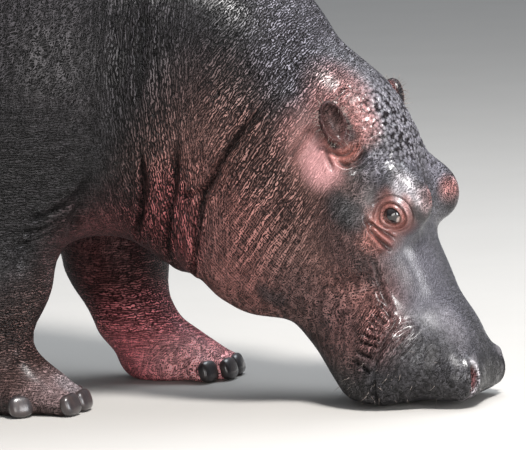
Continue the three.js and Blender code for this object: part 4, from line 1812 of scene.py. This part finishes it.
@dataclass
class Nail:
    """A blunt nail on the front of a toe, squarer than an egg and flat at the ground.

    It stands proud of the toe and clear of the floor by those lengths, in millimetres.
    """

    thick: float = 16.0
    tall: float = 26.0
    wide: float = 1.05
    lean: float = 0.3
    square: float = 0.72
    proud: float = 4.0
    clear: float = 1.0
    around: int = 32
    down: int = 20

    def mesh(self, name: str, leg: Leg, toe: Toe, place: np.ndarray) -> bpy.types.Mesh:
        """Makes the nail of one toe in its place in the row frame."""
        heading = math.atan2((toe.tip[1] - toe.root[1]) * leg.side, toe.tip[0] - toe.root[0])
        half = np.array([self.thick, toe.thick[1] * self.wide, self.tall]) * leg.size
        out = (toe.thick[1] + self.proud) * leg.size - half[0]
        middle = np.array([
            leg.foot[0] + toe.tip[0] * leg.size + out * math.cos(heading),
            leg.foot[1] + toe.tip[1] * leg.size * leg.side + out * math.sin(heading),
            half[2] + self.clear])
        me = ball_mesh(name, self.around, self.down)
        p = points_of(me)
        p = np.sign(p) * np.abs(p) ** self.square * half
        turn = Matrix.Rotation(heading, 3, "Z") @ Matrix.Rotation(-self.lean, 3, "Y")
        p = p @ np.array(turn).T + middle
        p[:, 2] = np.maximum(p[:, 2], self.clear)
        me.vertices.foreach_set("co", ((p + place) / MM).ravel())
        me.update()
        return me


@dataclass(frozen=True)
class BristleMap:
    """Where the head, the ears and the tail lie when they are rolled out on the bristles' map.

    Each place is a start and a length on the map, from 0 to 1. The lengths of the head and
    the tail stand for the spans beside them, in millimetres.
    """

    head_across: Span = (0.30, 0.66)
    head_along: Span = (0.12, 950.0)
    head_limits: Span = (0.02, 0.97)
    head_axis: float = -150.0
    tail_across: Span = (0.04, 0.2)
    tail_along: Span = (0.6, 1500.0)
    tail_axis: float = -1733.0
    tail_tip: float = 600.0
    tail_behind: float = -1500.0
    ear_across: Point = (0.04, 0.12, 0.055)
    ear_size: Span = (0.02, 0.1)
    ear_along: float = 0.2
    ear_reach: float = 1.5

    def place(self, p: np.ndarray, plan: BodyPlan) -> np.ndarray:
        """Where some points lie on the map.

        Args:
            p: points in the animal's frame.
            plan: the body.

        Returns:
            Their places on the map, from 0 to 1.
        """
        s, y, d = plan.head.into(p).T
        turn = np.arctan2(y, -(d - self.head_axis)) / (2 * math.pi) + 0.5
        start, length = self.head_along
        flat = np.column_stack([self.head_across[0] + self.head_across[1] * turn,
                                np.clip(start + s / length, *self.head_limits)])
        tail = p[:, 0] < self.tail_behind
        turn = np.arctan2(p[:, 1], p[:, 0] - self.tail_axis) / (2 * math.pi) + 0.5
        start, length = self.tail_along
        flat[tail] = np.column_stack([self.tail_across[0] + self.tail_across[1] * turn,
                                      start + (p[:, 2] - self.tail_tip) / length])[tail]
        first, each, behind = self.ear_across
        wide, tall = self.ear_size
        for number, ear in enumerate(EARS.values()):
            local = ear.local(p, plan.head)
            near = np.linalg.norm(local, axis=1) < self.ear_reach * ear.tall
            across = first + each * number + behind * (local[:, 0] > 0)
            across = across + wide * (1 + local[:, 1] / ear.tall)
            along = self.ear_along + tall * local[:, 2] / ear.tall
            flat[near] = np.column_stack([across, along])[near]
        return flat


@dataclass
class BristleTuft:
    """Stiff bristles scattered over the hide where its bristle mask is above 0, in metres."""

    density: float = 26000.0
    length: float = 0.020
    radius: float = 0.00055
    lean: float = 0.5
    seed: int = 7
    corners: int = 5
    sizes: Span = (0.45, 1.25)
    clear: float = 0.001
    patch: float = 0.0015
    layout: BristleMap = BristleMap()

    def tree(self, material: bpy.types.Material) -> bpy.types.NodeTree:
        """The Geometry Nodes tree that scatters the bristles, with its sizes as inputs."""
        tree = bpy.data.node_groups.new("bristles", "GeometryNodeTree")
        tree.interface.new_socket("Geometry", in_out="INPUT", socket_type="NodeSocketGeometry")
        for label in ("Density", "Length", "Radius", "Lean"):
            tree.interface.new_socket(label, in_out="INPUT", socket_type="NodeSocketFloat")
        tree.interface.new_socket("Seed", in_out="INPUT", socket_type="NodeSocketInt")
        tree.interface.new_socket("Geometry", in_out="OUTPUT", socket_type="NodeSocketGeometry")
        graph = Graph(tree)
        given, made = tree.nodes.new("NodeGroupInput"), tree.nodes.new("NodeGroupOutput")
        mask = graph.add("GeometryNodeInputNamedAttribute", {"Name": "bristles"}, data_type="FLOAT")
        spread = graph.math("MULTIPLY", mask.outputs[0], given.outputs["Density"])
        scatter = graph.add("GeometryNodeDistributePointsOnFaces", {
            "Mesh": given.outputs["Geometry"], "Density": spread, "Seed": given.outputs["Seed"]})
        spike = graph.add("GeometryNodeMeshCone", {
            "Vertices": self.corners - 1, "Radius Top": 0.0,
            "Radius Bottom": given.outputs["Radius"],
            "Depth": given.outputs["Length"]}, fill_type="NONE")
        wobble = graph.add("FunctionNodeRandomValue", {
            0: (-1.0, -1.0, -1.0), 1: (1.0, 1.0, 1.0), "Seed": given.outputs["Seed"]},
            data_type="FLOAT_VECTOR")
        bent = graph.add("ShaderNodeVectorMath", {0: wobble.outputs[0]}, operation="SCALE")
        tree.links.new(given.outputs["Lean"], bent.inputs["Scale"])
        way = graph.add("ShaderNodeVectorMath", {0: scatter.outputs["Normal"], 1: bent.outputs[0]})
        turn = graph.add("FunctionNodeAlignRotationToVector", {"Vector": way.outputs[0]}, axis="Z")
        size = graph.add("FunctionNodeRandomValue", {
            2: self.sizes[0], 3: self.sizes[1], "Seed": given.outputs["Seed"]}, data_type="FLOAT")
        placed = graph.add("GeometryNodeInstanceOnPoints", {
            "Points": scatter.outputs["Points"], "Instance": spike.outputs["Mesh"],
            "Rotation": turn.outputs[0], "Scale": size.outputs[1]})
        real = graph.add("GeometryNodeRealizeInstances", {"Geometry": placed.outputs[0]})
        dressed = graph.add("GeometryNodeSetMaterial", {
            "Geometry": real.outputs[0], "Material": material})
        tree.links.new(dressed.outputs[0], made.inputs["Geometry"])
        return tree

    def map_roots(self, me: bpy.types.Mesh, plan: BodyPlan, place: np.ndarray) -> None:
        """Gives every bristle its own small patch of the map OFBake, at its root's place."""
        roots = points_of(me).reshape(-1, self.corners, 3).mean(1) * MM - place
        turn = np.arange(self.corners) * 2 * math.pi / self.corners
        patch = self.patch * np.column_stack([np.cos(turn), np.sin(turn)])
        spots = self.layout.place(roots, plan)[:, None] + patch
        corners = np.empty(len(me.loops), np.int32)
        me.loops.foreach_get("vertex_index", corners)
        layer = me.uv_layers.new(name="OFBake")
        layer.data.foreach_set("uv", spots.reshape(-1, 2)[corners].astype(np.float32).ravel())

    def grow(
            self, name: str, hide: bpy.types.Object, material: bpy.types.Material
    ) -> bpy.types.Object:
        """Grows the bristles and returns them as a plain mesh."""
        carrier = bpy.data.objects.new("carrier", hide.data.copy())
        bpy.context.scene.collection.objects.link(carrier)
        tree = self.tree(material)
        modifier = carrier.modifiers.new("bristles", "NODES")
        modifier.node_group = tree
        values = {"Density": self.density, "Length": self.length, "Radius": self.radius,
                  "Lean": self.lean, "Seed": self.seed}
        for item in tree.interface.items_tree:
            if item.in_out == "INPUT" and item.name in values:
                modifier[item.identifier] = values[item.name]
        graph = bpy.context.evaluated_depsgraph_get()
        me = bpy.data.meshes.new_from_object(carrier.evaluated_get(graph))
        me.name = name
        p = points_of(me)
        p[:, 2] = np.maximum(p[:, 2], self.clear)
        me.vertices.foreach_set("co", p.ravel())
        bpy.data.objects.remove(carrier)
        piece = bpy.data.objects.new(name, me)
        bpy.context.scene.collection.objects.link(piece)
        return piece


# ------------------------------------------------------------------ stage
@dataclass(frozen=True)
class Lamp:
    """A soft square light, in metres and watts."""

    name: str
    at: Point
    aim: Point
    size: float
    power: float
    tint: Colour

    def hang(self) -> None:
        """Hangs the light in its place."""
        data = bpy.data.lights.new(self.name, "AREA")
        data.size, data.energy, data.color = self.size, self.power, self.tint
        lamp = bpy.data.objects.new(self.name, data)
        lamp.location = self.at
        way = Vector(self.aim) - Vector(self.at)
        lamp.rotation_euler = way.to_track_quat("-Z", "Y").to_euler()
        bpy.context.scene.collection.objects.link(lamp)


LAMPS = (
    Lamp("sky", (1.5, 2.2, 5.4), (0.4, 0.0, 0.6), 4.0, 275.0, (0.90, 0.95, 1.0)),
    Lamp("key", (3.8, -3.2, 6.8), (0.6, 0.0, 0.6), 1.5, 1220.0, (1.0, 0.98, 0.96)),
    Lamp("bounce", (3.2, -5.5, 0.9), (0.5, 0.0, 0.3), 2.5, 110.0, (1.0, 0.97, 0.94)),
    Lamp("front", (3.8, -1.6, 0.7), (0.6, 0.2, 0.15), 1.2, 60.0, (0.98, 0.98, 1.0)),
)


@dataclass(frozen=True)
class Studio:
    """The floor, the sky and the camera, in metres."""

    floor_half: float = 60.0
    camera_at: Point = (5.169, -11.062, 1.981)
    camera_aim: Point = (0.832, 0.037, 0.405)
    camera_up: Point = (-0.0192, 0.1719, 0.9849)
    lens: float = 349.0
    sensor: float = 36.0
    sight: float = 200.0
    view_transform: str = "Standard"
    sky_tint: Colour = (0.84, 0.91, 1.0)
    sky_glow: tuple[Span, ...] = ((0.0, 0.14), (0.35, 0.18), (0.75, 0.6), (1.0, 0.7))

    def floor(self) -> bpy.types.Object:
        """A wide flat floor under the soles."""
        h = self.floor_half
        me = mesh_of("floor", np.array([(-h, -h, 0), (h, -h, 0), (h, h, 0), (-h, h, 0)]),
                     np.array([(0, 1, 2, 3)]))
        piece = shown("floor", me, FloorFinish("studio_floor").material())
        return piece

    def sky(self) -> None:
        """A pale sky that is brighter overhead."""
        world = bpy.data.worlds.new("studio")
        world.use_nodes = True
        graph = Graph(world.node_tree)
        way = graph.add("ShaderNodeTexCoord").outputs["Generated"]
        height = graph.add("ShaderNodeSeparateXYZ", {0: way}).outputs["Z"]
        back = world.node_tree.nodes["Background"]
        back.inputs["Color"].default_value = (*self.sky_tint, 1)
        world.node_tree.links.new(graph.ramp(height, self.sky_glow), back.inputs["Strength"])
        bpy.context.scene.world = world

    def camera(self) -> None:
        """The camera, low in front of the animal's right shoulder."""
        data = bpy.data.cameras.new("camera")
        data.lens, data.sensor_width, data.clip_end = self.lens, self.sensor, self.sight
        camera = bpy.data.objects.new("camera", data)
        back = (Vector(self.camera_at) - Vector(self.camera_aim)).normalized()
        right = Vector(self.camera_up).cross(back).normalized()
        turn = Matrix((right, back.cross(right), back)).transposed().to_4x4()
        camera.matrix_world = Matrix.Translation(self.camera_at) @ turn
        bpy.context.scene.collection.objects.link(camera)
        bpy.context.scene.camera = camera

    def build(self) -> None:
        """Sets the stage."""
        self.floor()
        self.sky()
        for lamp in LAMPS:
            lamp.hang()
        self.camera()
        bpy.context.scene.view_settings.view_transform = self.view_transform


def finished(piece: bpy.types.Object, slot: str, *nodes: str) -> None:
    """Makes a piece ride on the animal and stand for its solids, and logs its slot."""
    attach(piece, BODY)
    if nodes:
        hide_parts(*nodes)
    LOG.info("%s: %d faces, slot %s", piece.name, len(piece.data.polygons), slot)


def main() -> None:
    """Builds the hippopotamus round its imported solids."""
    logging.basicConfig(level=logging.INFO, format="%(message)s")
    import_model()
    plan = BodyPlan()
    low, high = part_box("right_eye")
    place = np.array((low + high) * MM / 2) - plan.head.out([np.array(plan.eye) * (1, -1, 1)])[0]

    groups = SkinGroups(wrinkled_group(), pebbled_group(), mottle_group())
    mottle = groups.mottle
    hide = Hide(plan, place)
    skin = hide.build()
    hide_finish = HideFinish("damp_hide", coat_roughness=0.27, coat_ior=1.7, specular=0.2)
    skin.data.materials.append(hide_finish.material(groups))
    finished(skin, "hide", *Hide.REPLACED)

    tufts = BristleTuft()
    bristles = tufts.grow("bristles", skin, BristleFinish("bristle").material(mottle))
    tufts.map_roots(bristles.data, plan, place)
    finished(bristles, "hide")

    eye_finish = EyeFinish("wet_eye", coat_roughness=0.02).material(mottle)
    ball = Eyeball(plan.eye_radius - plan.eye_gap)
    for side in SIDES:
        name = f"{side}_eyeball"
        piece = shown(name, ball.mesh(name, hide.eyes[side], place), eye_finish)
        finished(piece, "eye", f"{side}_eye")

    nail_finish = NailFinish("horn").material(mottle)
    nail = Nail()
    for leg, toe in product(LEGS, TOES):
        name = f"{leg.name}_{toe.name}"
        piece = shown(f"{name}_horn", nail.mesh(f"{name}_horn", leg, toe, place), nail_finish)
        finished(piece, "nail", f"{name}_nail")

    Studio().build()


if __name__ == "__main__":
    main()
